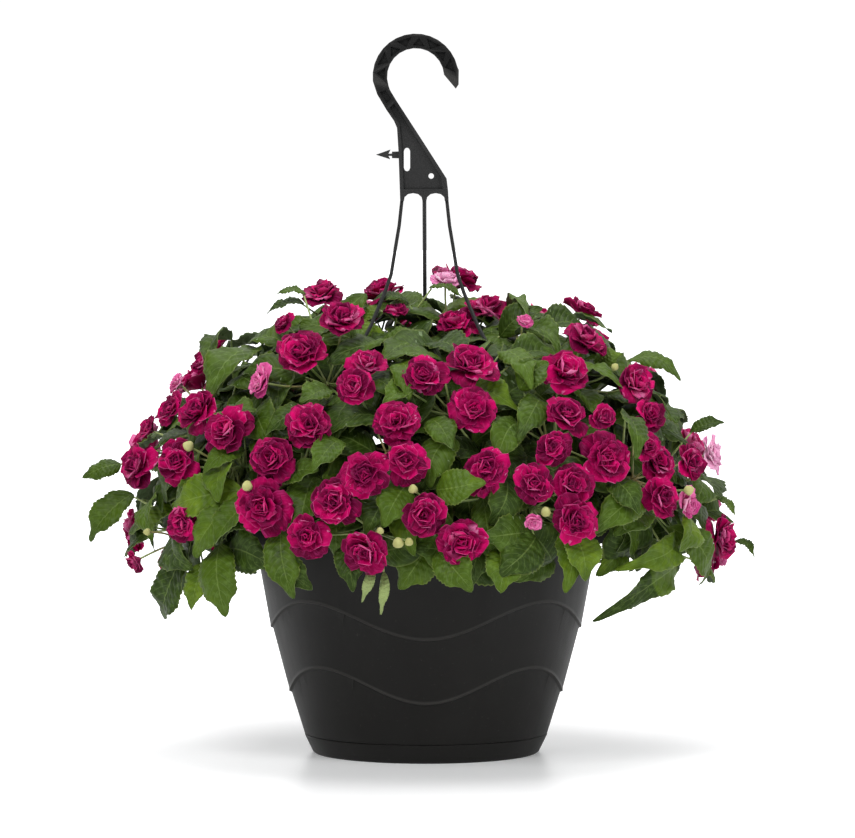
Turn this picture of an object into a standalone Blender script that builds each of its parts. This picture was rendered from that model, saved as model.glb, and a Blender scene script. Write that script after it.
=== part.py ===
"""Busy lizzie with double flowers in a hanging pot: pot, saucer, hanger, potting soil, leafy shoots and groups of blooms.

Metres, +Z up. The origin is the centre of the saucer's underside. The hanger's flat plate faces -Y.
"""

import math
import random

import bmesh
import bpy
from mathutils import Matrix, Vector
from mathutils.bvhtree import BVHTree

# ---------------------------------------------------------------- driving dimensions
RIM_R = 0.160  # outer radius of the rim's skirt
RIM_TOP = 0.1868  # height of the rim's flat top
RIM_SKIRT = 0.0142  # height of the skirt that hangs from the rim
WALL = 0.0020  # wall of the pot
NECK_R = 0.1367  # outer radius of the wall right under the rim
SAUCER_R = 0.0976  # outer radius of the saucer's lip
SAUCER_H = 0.0152  # height of the saucer
SAUCER_FOOT_R = 0.0893  # radius of the flat that the saucer stands on
SAUCER_WALL = 0.0018
GAP = 0.0003  # clearance between pieces that touch
STEP_OUT = 0.0014  # how far each waved step stands proud of the wall below it
LOW_WAVE = (0.0615, 0.0128)  # height and half swing of the lower waved step
HIGH_WAVE = (0.1136, 0.0134)  # height and half swing of the upper waved step
SOIL_TOP = 0.1720
STRAND_R = 0.0016  # radius of a hanger strand
STRAND_AT = 0.1545  # radius at which the strands pass through the rim
PLATE_T = 0.0086  # depth of the hook's flanges
WEB_T = 0.0026  # thickness of the hook's web
SEGMENTS = 40

# ---------------------------------------------------------------- front elevation
# Places on the plant and on the hanger are read off a front elevation, counted in grid steps of 0.8 mm
# with (427.5, 419) at the middle of the sheet, seen from 4 m and 2.7 degrees above the horizontal.
STEP = 0.0008
TILT = math.radians(2.7)
DIST = 4.0
MID_U, MID_V = 427.5, 419.0
TARGET = Vector((0.0012, 0.0, 0.2667))
FWD = Vector((0.0, math.cos(TILT), -math.sin(TILT)))
UPV = Vector((0.0, math.sin(TILT), math.cos(TILT)))
EYE = TARGET - FWD * DIST


def sight(u, v):
    return FWD + Vector((1, 0, 0)) * ((u - MID_U) * STEP / DIST) + UPV * ((MID_V - v) * STEP / DIST)


def spot(u, v, y=0.0):
    d = sight(u, v)
    return EYE + d * ((y - EYE.y) / d.y)


def sheet(p):
    """The place of a point on the front elevation."""
    q = p - EYE
    d = q.dot(FWD)
    return MID_U + q.x / d * DIST / STEP, MID_V - q.dot(UPV) / d * DIST / STEP


def bow(v):
    """How far the front strands bow forward at a height on the front elevation, pushed out by the foliage."""
    return 0.070 * (max(0.0, v - 203.5) / 143.1) ** 1.9


def shelf(u, v):
    """The furthest forward that the top of the plant comes, where the strands lie on it."""
    return -bow(v) if 352 < u < 502 and v < 352 else -1.0


# The mound of foliage is an ellipsoid round the rim.
MOUND_C = Vector((0.0, 0.0, 0.185))
MOUND_R = Vector((0.243, 0.225, 0.195))


def scaled(p):
    return Vector((p.x / MOUND_R.x, p.y / MOUND_R.y, p.z / MOUND_R.z))


def on_mound(u, v, k=1.0):
    d, o = scaled(sight(u, v)), scaled(EYE - MOUND_C)
    a, b, c = d.dot(d), o.dot(d), o.dot(o) - k * k
    disc = b * b - a * c
    t = (-b - math.sqrt(disc)) / a if disc > 0 else -b / a
    return EYE + sight(u, v) * t


def outward(p):
    q = p - MOUND_C
    return Vector((q.x / MOUND_R.x**2, q.y / MOUND_R.y**2, q.z / MOUND_R.z**2)).normalized()


# ---------------------------------------------------------------- the plant's plan
# Blooms seen from the front: u, v, diameter in grid steps, turn to the right, turn upwards.
BLOOMS = [
    (301, 353, 55, 0, 0), (463, 542, 50, 0, -0.2), (366, 551, 50, -0.5, -0.5), (264, 508, 56, 0, 0),
    (342, 320, 48, 0.2, 0.1), (322, 294, 42, 0, 0.3), (227, 429, 52, -0.1, 0), (178, 463, 46, 0.3, -0.1),
    (137, 466, 46, 0, 0), (198, 412, 45, -0.1, 0.1), (308, 427, 50, 0, 0), (273, 461, 50, 0, 0),
    (336, 501, 52, 0, 0.2), (309, 537, 42, 0.1, 0), (184, 524, 38, 0.1, -0.1), (406, 463, 44, 0.2, 0),
    (366, 473, 48, 0, 0), (398, 421, 50, 0, 0.2), (426, 515, 46, 0.1, -0.2), (425, 376, 46, -0.1, 0),
    (474, 407, 50, 0, 0), (472, 366, 54, 0.1, 0.3), (456, 324, 45, 0, 0), (487, 308, 44, 0.1, 0.3),
    (485, 470, 45, -0.1, 0), (535, 483, 40, 0, 0), (573, 483, 45, 0, 0.1), (575, 518, 50, 0, 0),
    (605, 457, 52, 0.1, 0), (553, 448, 38, -0.1, -0.1), (566, 416, 44, 0, 0.3), (602, 418, 30, 0.1, 0),
    (564, 372, 52, 0.1, 0.2), (585, 339, 46, 0.1, 0.3), (635, 384, 46, 0.2, 0), (648, 416, 38, 0.2, 0),
    (657, 462, 44, 0.1, 0.2), (660, 496, 44, 0.1, 0), (690, 461, 38, 0.3, 0.1), (722, 538, 46, 0.6, 0.1),
    (354, 386, 42, -0.1, -0.1), (367, 364, 40, 0.1, 0.3), (171, 409, 38, -0.4, 0.1), (148, 429, 30, -0.4, 0.3),
    (204, 363, 32, -0.6, 0.2), (261, 382, 36, -1.4, 0), (285, 324, 26, -0.7, 0.2), (178, 384, 25, -0.9, 0.3),
    (136, 561, 27, -0.6, -0.6), (446, 281, 34, 0.2, 1.0), (524, 323, 22, 0.6, 0.4), (711, 454, 40, 1.3, 0.2),
    (533, 522, 20, 0, -0.6), (646, 446, 34, 0.2, 0), (687, 503, 34, 0.9, -0.3), (396, 312, 28, 0, 0.6),
]  # fmt: skip

# Buds seen from the front: u, v, diameter in grid steps.
BUDS = [
    (247, 486, 13), (398, 543, 13), (409, 542, 10), (413, 489, 11), (188, 446, 13), (546, 512, 12),
    (615, 367, 9), (689, 490, 12), (380, 531, 9), (147, 532, 9),
]  # fmt: skip

# Leaves seen from the front: base u, v, tip u, v, width in grid steps, lift of the face towards the viewer.
LEAVES = [
    (121, 464, 82, 477, 24, 1.0), (133, 494, 88, 539, 30, 1.0), (186, 550, 159, 620, 36, 0.6),
    (204, 562, 190, 609, 26, 0.5), (220, 544, 226, 617, 44, 0.8), (281, 528, 292, 597, 34, 0.6),
    (243, 490, 170, 506, 42, 0.5), (240, 500, 192, 556, 34, 0.5), (628, 360, 682, 375, 26, 0.8),
    (676, 565, 593, 626, 34, 0.5), (668, 527, 710, 584, 32, 0.5), (673, 536, 628, 566, 30, 0.3),
    (640, 490, 597, 529, 36, 0.7), (536, 536, 500, 574, 40, 0.9), (571, 533, 586, 579, 38, 0.6),
    (437, 551, 472, 590, 34, 0.5), (503, 547, 500, 592, 38, 0.5), (436, 490, 483, 481, 36, 0.6),
    (407, 485, 384, 523, 34, 0.5), (262, 352, 207, 394, 46, 0.6), (288, 367, 276, 411, 32, 0.5),
    (306, 294, 277, 294, 16, 0.5), (304, 303, 267, 312, 18, 0.5), (690, 432, 723, 420, 16, 0.6),
    (735, 541, 755, 556, 12, 0.5), (715, 497, 736, 515, 16, 0.6), (232, 340, 206, 366, 26, 0.3),
    (378, 306, 356, 334, 24, 0.4), (409, 303, 374, 297, 20, 0.4), (515, 335, 560, 348, 26, 0.4),
    (520, 390, 548, 362, 30, 0.5), (500, 352, 532, 380, 26, 0.4), (595, 365, 620, 352, 22, 0.7),
    (520, 425, 497, 462, 32, 0.5), (540, 400, 518, 440, 30, 0.5), (625, 415, 640, 452, 28, 0.4),
    (610, 480, 640, 512, 30, 0.5), (245, 450, 203, 468, 28, 0.5), (290, 480, 318, 470, 26, 0.4),
    (340, 440, 312, 470, 28, 0.4), (430, 420, 452, 447, 28, 0.4), (330, 390, 300, 402, 28, 0.5),
    (410, 390, 384, 402, 24, 0.4), (424, 342, 448, 363, 28, 0.5), (345, 545, 352, 590, 26, 0.4),
    (372, 570, 362, 600, 10, 0.1), (384, 572, 380, 612, 9, 0.1), (160, 500, 146, 535, 26, 0.4),
    (400, 314, 441, 322, 32, 0.5), (380, 345, 420, 338, 20, 0.5), (429, 288, 463, 297, 15, 0.3),
    (491, 328, 488, 357, 24, 0.5), (508, 310, 531, 312, 14, 0.3),
]  # fmt: skip

SHOOTS = 18
GROUPS = 36
REAR_BLOOM = (38, 52)  # diameters of the blooms round the sides and back, in grid steps


def dome_points(count, turn=0.0):
    """Evenly spread directions on a sphere, as seeds in a flower head."""
    golden = math.pi * (3 - math.sqrt(5))
    for i in range(count):
        z = 1 - 2 * (i + 0.5) / count
        r = math.sqrt(1 - z * z)
        a = golden * i + turn
        yield Vector((r * math.cos(a), r * math.sin(a), z))


def ring_faces(rings, sides, first=0):
    """Faces of a closed loft whose rings follow each other, with a cap at each end."""
    faces = [tuple(first + sides - 1 - i for i in range(sides))]
    for k in range(rings - 1):
        for i in range(sides):
            a, b = first + k * sides + i, first + k * sides + (i + 1) % sides
            faces.append((a, b, b + sides, a + sides))
    faces.append(tuple(first + (rings - 1) * sides + i for i in range(sides)))
    return faces


def rod(points, radius, sides=4):
    """A plain rod along points, as vertices and faces."""
    verts = []
    for k, p in enumerate(points):
        t = (points[min(k + 1, len(points) - 1)] - points[max(k - 1, 0)]).normalized()
        a = t.orthogonal().normalized()
        b = t.cross(a)
        if k:
            a = (last - t * last.dot(t)).normalized()
            b = t.cross(a)
        last = a
        r = radius[k] if isinstance(radius, (list, tuple)) else radius
        verts += [p + (a * math.cos(q) + b * math.sin(q)) * r for q in (2 * math.pi * i / sides for i in range(sides))]
    return verts, ring_faces(len(points), sides)


def bend(a, b, c, n=5):
    """Points on a smooth arc from a to c that b pulls to its side."""
    return [a * (1 - t) ** 2 + b * 2 * t * (1 - t) + c * t * t for t in (i / (n - 1) for i in range(n))]


class Room:
    """What already stands in the mound, so that nothing else grows through it."""

    def __init__(self):
        self.items = []

    def add(self, shape, owner, kind):
        verts, faces = shape
        mid = sum(verts, Vector()) / len(verts)
        self.items.append((BVHTree.FromPolygons(verts, faces), mid, max((v - mid).length for v in verts), owner, kind))

    def free(self, shape, skip=lambda owner, kind: False):
        verts, faces = shape
        tree = BVHTree.FromPolygons(verts, faces)
        mid = sum(verts, Vector()) / len(verts)
        reach = max((v - mid).length for v in verts)
        for other, centre, r, owner, kind in self.items:
            if (mid - centre).length > reach + r or skip(owner, kind):
                continue
            if tree.overlap(other):
                return False
        return True


def bloom_shape(centre, face, radius, grow=0.0):
    """A shallow rosette: a blunt back, its widest ring, a raised front ring and a dished middle."""
    a = face.orthogonal().normalized()
    b = face.cross(a)
    rings = ((-0.46, 0.24), (-0.02, 0.96), (0.42, 0.50))
    sides, verts = 6, []
    for h, r in rings:
        for i in range(sides):
            q = 2 * math.pi * i / sides
            verts.append(centre + face * (h * radius + math.copysign(grow, h)) + (a * math.cos(q) + b * math.sin(q)) * (r * radius + grow))
    return verts, ring_faces(3, sides)


def leaf_shape(root, base, tip, normal, width, grow=0.0, blade_only=False):
    """A leaf with its petiole: a loft of flat diamonds, folded a little along the midrib and drooping to its tip."""
    along = tip - base
    length = along.length
    ahead = along / length
    side = ahead.cross(normal).normalized()
    up = side.cross(ahead).normalized()
    rows = []
    if blade_only:
        rows.append((base, side, up, 0.0011, 0.0010, 0.0))
    else:
        way = (base - root).normalized()
        half = ahead.rotation_difference((way + ahead).normalized())
        rest = ahead.rotation_difference(way)
        rows.append((root, rest @ side, rest @ up, 0.0010, 0.0010, 0.0))
        rows.append((base, half @ side, half @ up, 0.0011, 0.0010, 0.0))
    rows.append((base + along * 0.44 + up * (length * 0.09), side, up, width * 0.47, 0.0009, width * 0.10))
    rows.append((tip, side, up, 0.0008, 0.0006, 0.0))
    verts = []
    for p, across, above, w, t, lift in rows:
        w, t = w + grow, t + grow
        verts += [p - across * w + above * lift, p - above * t, p + across * w + above * lift, p + above * t]
    return verts, ring_faces(len(rows), 4)


def plan(blocks):
    """Where every stem, bloom, bud and leaf goes, so that no two pieces meet. blocks are the shapes already there."""
    rnd = random.Random(11)
    room = Room()
    for shape in blocks:
        room.add(shape, -1, "hard")
    blooms = []

    def try_bloom(place, face, radius, tag):
        if room.free(bloom_shape(place, face, radius, 0.0008)):
            room.add(bloom_shape(place, face, radius), len(blooms), "bloom")
            blooms.append({"place": place, "face": face, "radius": radius, "tag": tag})
            return True
        return False

    for n, (u, v, size, turn, lift) in enumerate(BLOOMS):
        first = on_mound(u, v, 0.985)
        if first.y < shelf(u, v):
            first = spot(u, v, shelf(u, v) + size * STEP * 0.5 + 0.003)
        face = (outward(first) * 0.75 - FWD * 0.45 + Vector((turn, 0, lift))).normalized()
        ray = sight(u, v)
        for shift in (0, 6, -6, 12, -12, 18, -18, 24, -24, 30, 36, 42, 50, 60):
            place = first + ray * (shift * 0.001)
            radius = size * STEP * 0.5 * (place - EYE).length / DIST
            if try_bloom(place, face, radius, n):
                break
        else:
            print("bloom left out", u, v)
    for d in dome_points(150, 0.4):
        p = MOUND_C + Vector((d.x * MOUND_R.x, d.y * MOUND_R.y, d.z * MOUND_R.z)) * 0.975
        n = outward(p)
        if n.dot(FWD) < -0.02 or p.z < 0.135 or rnd.random() < 0.08:
            continue
        for _ in range(6):
            q = p + Vector((rnd.uniform(-1, 1), rnd.uniform(-1, 1), rnd.uniform(-1, 1))) * 0.012
            face = (n + Vector((rnd.uniform(-1, 1), rnd.uniform(-1, 1), rnd.uniform(-0.6, 1))) * 0.28).normalized()
            if q.y < shelf(*sheet(q)) + 0.02 or any((q - b["place"]).length < 0.047 for b in blooms):
                continue
            if try_bloom(q, face, rnd.uniform(*REAR_BLOOM) * STEP * 0.5, 1000 + len(blooms)):
                break
    for n, (u, v, size) in enumerate(BUDS):
        first = on_mound(u, v, 1.0)
        for shift in (0, -6, 6, -12, 12, -18, 18, 24, 30):
            place = first + sight(u, v) * (shift * 0.001)
            if try_bloom(place, outward(place), size * STEP * 0.5, 2000 + n):
                break

    # neighbouring blooms share a branch end, and neighbouring branches share a shoot
    def gather(points, count):
        mids = [points[0]]
        while len(mids) < count:
            mids.append(max(points, key=lambda p: min((p - m).length for m in mids)))
        for _ in range(8):
            near = [min(range(count), key=lambda m: (p - mids[m]).length) for p in points]
            for m in range(count):
                own = [p for p, k in zip(points, near) if k == m]
                mids[m] = sum(own, Vector()) / len(own) if own else mids[m]
        return near

    groups = gather([b["place"] for b in blooms], GROUPS)
    for b, g in zip(blooms, groups):
        b["group"] = g
    knots = []
    for g in range(GROUPS):
        own = [b for b in blooms if b["group"] == g]
        back = sum((b["place"] - b["face"] * (b["radius"] * 0.46) for b in own), Vector()) / len(own)
        knots.append(back - outward(back) * 0.030)
    shoots = gather(knots, SHOOTS)

    # stems: one from the soil to a fork, and a branch from there to each knot
    stems = {}
    for s in range(SHOOTS):
        ends = [g for g in range(GROUPS) if shoots[g] == s]
        mid = sum((knots[g] for g in ends), Vector()) / len(ends)
        flat = Vector((mid.x, mid.y, 0))
        for attempt in range(80):
            jog = Vector((rnd.uniform(-1, 1), rnd.uniform(-1, 1), 0)) * (0.002 * attempt ** 0.7)
            foot = flat * 0.42 + jog
            foot = foot.normalized() * min(max(foot.length, 0.012), 0.105)
            foot.z = SOIL_TOP + 0.0006
            fork = flat * 0.52 + Vector((0, 0, max(0.232, foot.z + 0.5 * (mid.z - foot.z)) + 0.0005 * attempt)) + jog
            if Vector((fork.x, fork.y)).length > 0.128:
                fork = Vector((fork.x, fork.y, 0)).normalized() * 0.128 + Vector((0, 0, fork.z))
            main = bend(foot, Vector((foot.x, foot.y, (foot.z + fork.z) / 2)), fork, 3)
            parts = [(main, 0.0032)]
            for g in ends:
                knot = knots[g]
                pull = (fork + knot) * 0.5 + Vector((0, 0, 0.012 + 0.25 * max(0, fork.z - knot.z)))
                branch = bend(fork, pull, knot, 4)
                stop = (branch[-1] - branch[-2]).normalized()
                branch[-1] = knot - stop * 0.0034
                branch[0] = branch[0] + Vector((rnd.uniform(-1, 1), rnd.uniform(-1, 1), 0.0)) * 0.0006
                parts.append((branch, 0.0021 + 0.0002 * rnd.random()))
            if all(room.free(rod(p, r + 0.0008)) for p, r in parts):
                break
        else:
            print("shoot meets another", s)
        for p, r in parts:
            room.add(rod(p, r), s, "stem")
        stems[s] = {"parts": parts, "ends": ends}

    # pedicels: from the knot to the back of each bloom
    for n, b in enumerate(blooms):
        knot = knots[b["group"]]
        end = b["place"] - b["face"] * (b["radius"] * 0.36)
        for attempt in range(60):
            jog = Vector((rnd.uniform(-1, 1), rnd.uniform(-1, 1), rnd.uniform(-1, 1))) * (0.0015 * attempt)
            pull = end - b["face"] * (0.35 * (end - knot).length) + jog
            path = bend(knot, pull, end, 3)
            mine = b["group"]
            if room.free(rod(path, 0.0016), lambda o, k: (k == "bloom" and o == n) or (k == "pedicel" and o == mine)):
                break
        else:
            print("pedicel meets another piece", n, b["tag"])
        b["path"] = path
        room.add(rod(path, 0.0009), mine, "pedicel")
    for g, knot in enumerate(knots):
        room.add(bloom_shape(knot, Vector((0, 0, 1)), 0.0026), g, "knot")

    # leaves: each grows from the nearest branch that it can reach
    leaves = []
    posts = []
    for s in stems:
        for path, _ in stems[s]["parts"][1:]:
            for a, b in zip(path, path[1:]):
                posts += [(a.lerp(b, 0.25), s), (a.lerp(b, 0.70), s)]

    def try_leaf(base, tip, normal, width, tag):
        near = sorted(posts, key=lambda q: (q[0] - base).length)[:6]
        blade = leaf_shape(base, base, tip, normal, width, 0.0006, True)
        if not room.free(blade):
            return False
        for p, s in near:
            if (base - p).normalized().dot((tip - base).normalized()) < -0.35 or (base - p).length < 0.006:
                continue
            p = p + Vector((rnd.uniform(-1, 1), rnd.uniform(-1, 1), rnd.uniform(-1, 1))) * 0.0005
            whole = leaf_shape(p, base, tip, normal, width, 0.0007)
            if room.free(whole, lambda o, k: (k in ("stem", "leaf") and o == s)) and room.free(blade):
                room.add(leaf_shape(p, base, tip, normal, width), s, "leaf")
                leaves.append({"root": p, "base": base, "tip": tip, "normal": normal, "width": width, "shoot": s, "tag": tag})
                return True
        return False

    for n, (u, v, tu, tv, width, lift) in enumerate(LEAVES):
        base, tip = on_mound(u, v, 0.90), on_mound(tu, tv, 1.0)
        if base.y < shelf(u, v) or tip.y < shelf(tu, tv):
            base, tip = spot(u, v, shelf(u, v) + 0.012), spot(tu, tv, shelf(u, v) + 0.006)
        ray = sight(u, v)
        normal = (outward((base + tip) / 2) * 0.8 + Vector((0, 0, 0.3)) - FWD * lift).normalized()
        for shift in (0, 5, -5, 10, -10, 15, -15, 20, -20, 26, -26, 32, 40, 50):
            if shift < 0 and shelf(u, v) > -1:
                continue
            if try_leaf(base + ray * shift * 0.001, tip + ray * shift * 0.0011, normal, width * STEP, n):
                break
        else:
            print("leaf left out", u, v)
    for k, d in enumerate(dome_points(200, 1.1)):
        if d.z < -0.24:
            continue
        depth = (0.93, 0.99, 0.88)[k % 3]
        base = MOUND_C + Vector((d.x * MOUND_R.x, d.y * MOUND_R.y, d.z * MOUND_R.z)) * (depth - 0.10)
        n = outward(base)
        down = (Vector((n.x, n.y, 0)) * 1.0 - Vector((0, 0, 0.75))).normalized()
        down = (down - n * down.dot(n)).normalized() if abs(n.z) < 0.96 else n.orthogonal()
        swirl = n.cross(down)
        for _ in range(3):
            q = rnd.uniform(-1.1, 1.1)
            way = (down * math.cos(q) + swirl * math.sin(q) + n * rnd.uniform(0.15, 0.6)).normalized()
            length, width = rnd.uniform(0.042, 0.058), rnd.uniform(0.024, 0.032)
            tip = base + way * length
            inside = scaled(tip - MOUND_C).length
            if inside > 1.03 or tip.z < (0.142 if tip.y < -0.05 else 0.122) or min(base.y, tip.y) < shelf(*sheet(tip)) + 0.004:
                continue
            if try_leaf(base, tip, (n + Vector((0, 0, 0.35))).normalized(), width, 100 + k):
                break
    return blooms, knots, stems, leaves


# ---------------------------------------------------------------- modelling helpers
for old in list(bpy.data.objects):
    bpy.data.objects.remove(old, do_unlink=True)

PARTS = bpy.data.collections.new("busy_lizzie")
CUTTERS = bpy.data.collections.new("cutters")
UNIONS = []
bpy.context.scene.collection.children.link(PARTS)
bpy.context.scene.collection.children.link(CUTTERS)


def material(name, colour, roughness, metallic=0.0):
    m = bpy.data.materials.new(name)
    m.use_nodes = True
    shader = m.node_tree.nodes["Principled BSDF"]
    shader.inputs["Base Color"].default_value = (*colour, 1)
    shader.inputs["Roughness"].default_value = roughness
    shader.inputs["Metallic"].default_value = metallic
    return m


POT_BLACK = material("charcoal_plastic", (0.020, 0.019, 0.018), 0.5)
SAUCER_BLACK = material("charcoal_plastic_saucer", (0.020, 0.019, 0.018), 0.5)
HANGER_BLACK = material("black_plastic", (0.018, 0.018, 0.018), 0.4)
SOIL_BROWN = material("compost", (0.045, 0.028, 0.018), 0.95)


def mesh_object(name, verts, faces, mat, collection=PARTS):
    mesh = bpy.data.meshes.new(name)
    mesh.from_pydata([tuple(v) for v in verts], [], faces)
    b = bmesh.new()
    b.from_mesh(mesh)
    bmesh.ops.recalc_face_normals(b, faces=b.faces)
    if b.calc_volume(signed=True) < 0:
        bmesh.ops.reverse_faces(b, faces=b.faces)
    b.to_mesh(mesh)
    b.free()
    ob = bpy.data.objects.new(name, mesh)
    if mat:
        mesh.materials.append(mat)
    collection.objects.link(ob)
    return ob


def hide(ob):
    ob.hide_render = True
    ob.display_type = "WIRE"
    for c in list(ob.users_collection):
        c.objects.unlink(ob)
    CUTTERS.objects.link(ob)


def boolean(ob, other, operation, solver="EXACT"):
    mod = ob.modifiers.new(other.name, "BOOLEAN")
    mod.operation = operation
    mod.solver = solver
    mod.object = other
    hide(other)


def join(ob, others):
    """One body of ob and the shapes in others: a union with the group of them."""
    for other in others:
        hide(other)
    UNIONS.append((ob, others))


def make_unions():
    while UNIONS:
        union(*UNIONS.pop(0))


def union(ob, others):
    group = bpy.data.collections.new(ob.name + "_pieces")
    CUTTERS.children.link(group)
    for other in others:
        CUTTERS.objects.unlink(other)
        group.objects.link(other)
    mod = ob.modifiers.new("union", "BOOLEAN")
    mod.operation = "UNION"
    mod.solver = "MANIFOLD"
    mod.operand_type = "COLLECTION"
    mod.collection = group


def tube(name, points, radius, mat, resolution=1, radii=None):
    """A round rod along points, from a bevelled curve with filled caps, as a closed mesh."""
    curve = bpy.data.curves.new(name, "CURVE")
    curve.dimensions = "3D"
    curve.bevel_depth = radius
    curve.bevel_resolution = resolution
    curve.use_fill_caps = True
    spline = curve.splines.new("POLY")
    spline.points.add(len(points) - 1)
    for k, p in enumerate(points):
        spline.points[k].co = (*p, 1)
        spline.points[k].radius = radii[k] if radii else 1.0
    ob = bpy.data.objects.new(name + "_curve", curve)
    mesh = bpy.data.meshes.new_from_object(ob)
    b = bmesh.new()
    b.from_mesh(mesh)
    bmesh.ops.remove_doubles(b, verts=b.verts, dist=2e-5)
    bmesh.ops.recalc_face_normals(b, faces=b.faces)
    b.to_mesh(mesh)
    b.free()
    solid = bpy.data.objects.new(name, mesh)
    bpy.data.objects.remove(ob, do_unlink=True)
    mesh.materials.clear()
    if mat:
        mesh.materials.append(mat)
    PARTS.objects.link(solid)
    return solid


# ---------------------------------------------------------------- pot
def wall_radius(z):
    """Outer radius of the pot's wall at a height, without the waved steps."""
    marks = ((0.0152, 0.0980), (0.0492, 0.1090), (0.1030, 0.1236), (0.1436, 0.1318), (0.1720, NECK_R), (0.20, 0.1405))
    for (z0, r0), (z1, r1) in zip(marks, marks[1:]):
        if z <= z1:
            return r0 + (r1 - r0) * (z - z0) / (z1 - z0)
    return marks[-1][1]


def wave(z, swing, angle):
    return z - swing * math.cos(4 * (angle + math.pi / 2))


def pot_rows(angle):
    """The pot's profile at one angle, from the middle of its underside out, up the wall, over the rim and down inside."""
    low, high = wave(*LOW_WAVE, angle), wave(*HIGH_WAVE, angle)
    foot = SAUCER_WALL + GAP
    inner = lambda z: wall_radius(z) - WALL
    return [
        (SAUCER_FOOT_R - SAUCER_WALL - 0.0016, foot),
        (SAUCER_R - SAUCER_WALL - 0.0006, SAUCER_H - 0.0002),
        (SAUCER_R - SAUCER_WALL - 0.0006, SAUCER_H + GAP),
        (wall_radius(SAUCER_H) - STEP_OUT * 0.5, SAUCER_H + GAP),
        (wall_radius(low) - STEP_OUT * 1.0, low - 0.0008),
        (wall_radius(low), low),
        (wall_radius(high) - STEP_OUT * 0.3, high - 0.0008),
        (wall_radius(high) + STEP_OUT * 0.7, high),
        (NECK_R + 0.0006, RIM_TOP - RIM_SKIRT),
        (NECK_R + 0.0026, RIM_TOP - 0.0020),
        (RIM_R - 0.0018, RIM_TOP - 0.0020),
        (RIM_R - 0.0018, RIM_TOP - RIM_SKIRT),
        (RIM_R, RIM_TOP - RIM_SKIRT),
        (RIM_R, RIM_TOP - 0.0016),
        (RIM_R - 0.0016, RIM_TOP),
        (NECK_R + 0.0006, RIM_TOP),
        (inner(0.174), RIM_TOP - 0.004),
        (inner(0.1455), 0.1455),
        (inner(0.075) - STEP_OUT, 0.075),
        (inner(SAUCER_H) - STEP_OUT * 2, SAUCER_H + 0.004),
        (SAUCER_FOOT_R - SAUCER_WALL - 0.004, foot + WALL),
    ]


def turned_shape(rows_at, segments=SEGMENTS):
    """A turned shape whose profile may change with the angle, closed at both ends on the axis."""
    verts, faces, count = [], [], len(rows_at(0.0))
    for s in range(segments):
        a = 2 * math.pi * s / segments
        for r, z in rows_at(a):
            verts.append(Vector((r * math.cos(a), r * math.sin(a), z)))
    for s in range(segments):
        t = (s + 1) % segments
        for k in range(count - 1):
            faces.append((s * count + k, t * count + k, t * count + k + 1, s * count + k + 1))
    faces.append(tuple(s * count for s in range(segments)))
    faces.append(tuple(s * count + count - 1 for s in reversed(range(segments))))
    return verts, faces


def turned(name, rows_at, mat, segments=SEGMENTS):
    return mesh_object(name, *turned_shape(rows_at, segments), mat)


pot = turned("pot", pot_rows, POT_BLACK)
for k, a in enumerate((-30, 90, 210)):
    a = math.radians(a)
    bpy.ops.mesh.primitive_cylinder_add(vertices=12, radius=0.0027, depth=0.02, location=(STRAND_AT * math.cos(a), STRAND_AT * math.sin(a), RIM_TOP))
    hole = bpy.context.object
    hole.name = f"strand_hole_{k}"
    hole.rotation_euler.z = a + 0.13
    boolean(pot, hole, "DIFFERENCE", "MANIFOLD")

# ---------------------------------------------------------------- saucer
SAUCER_ROWS = [
    (SAUCER_FOOT_R, 0.0),
    (SAUCER_FOOT_R + 0.0016, 0.0012),
    (SAUCER_R - 0.0004, SAUCER_H - 0.001),
    (SAUCER_R - 0.0004, SAUCER_H),
    (SAUCER_R - SAUCER_WALL, SAUCER_H),
    (SAUCER_FOOT_R - SAUCER_WALL + 0.0008, SAUCER_WALL),
]
saucer = turned("saucer", lambda a: SAUCER_ROWS, SAUCER_BLACK)

# ---------------------------------------------------------------- potting soil
noise_rnd = random.Random(5)
lumps = {}


def soil_rows(angle):
    inner = lambda z: wall_radius(z) - WALL - STEP_OUT * 2 - 0.0010
    key = round(angle, 4)
    if key not in lumps:
        lumps[key] = [noise_rnd.uniform(-0.0035, 0.0) for _ in range(3)]
    a, b, c = lumps[key]
    foot = SAUCER_WALL + GAP + WALL + GAP
    return [
        (SAUCER_FOOT_R - SAUCER_WALL - 0.0080, foot + 0.0004),
        (inner(SAUCER_H) - 0.0006, SAUCER_H + 0.006),
        (inner(0.075), 0.077),
        (inner(0.168), 0.168 + a * 0.5),
        (0.110, SOIL_TOP - 0.0012 + b),
        (0.060, SOIL_TOP - 0.0008 + c),
    ]


soil = turned("potting_soil", soil_rows, SOIL_BROWN, 32)

# ---------------------------------------------------------------- hanger
HOOK_C, HOOK_OUT, HOOK_IN = (415.6, 76.7), 43.0, 28.5


def hook_arc(radius, start, end, n):
    for i in range(n):
        q = math.radians(start + (end - start) * i / (n - 1))
        yield HOOK_C[0] + radius * math.cos(q), HOOK_C[1] - radius * math.sin(q)


outline = [(455.8, 88.7), (458.6, 84.5), (458.8, 70.0)]
outline += list(hook_arc(HOOK_OUT, 12, 186, 16))
outline += [(377.2, 94.4), (386.5, 110.0), (394.0, 121.0), (397.0, 128.0), (398.4, 150.0), (400.2, 201.0)]
outline += [(404.0, 201.0), (404.6, 197.2), (408.0, 194.2), (413.0, 193.2), (418.2, 194.2), (421.6, 197.2), (422.4, 201.0)]
outline += [(426.4, 201.0), (427.2, 197.2), (430.6, 194.2), (435.8, 193.2), (440.8, 194.2), (444.2, 197.2), (444.8, 201.0)]
outline += [(448.6, 201.0), (448.0, 190.0), (446.6, 178.5), (421.0, 138.5), (396.0, 100.0), (390.0, 90.0)]
outline += list(hook_arc(HOOK_IN, 199, 4, 14))


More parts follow.
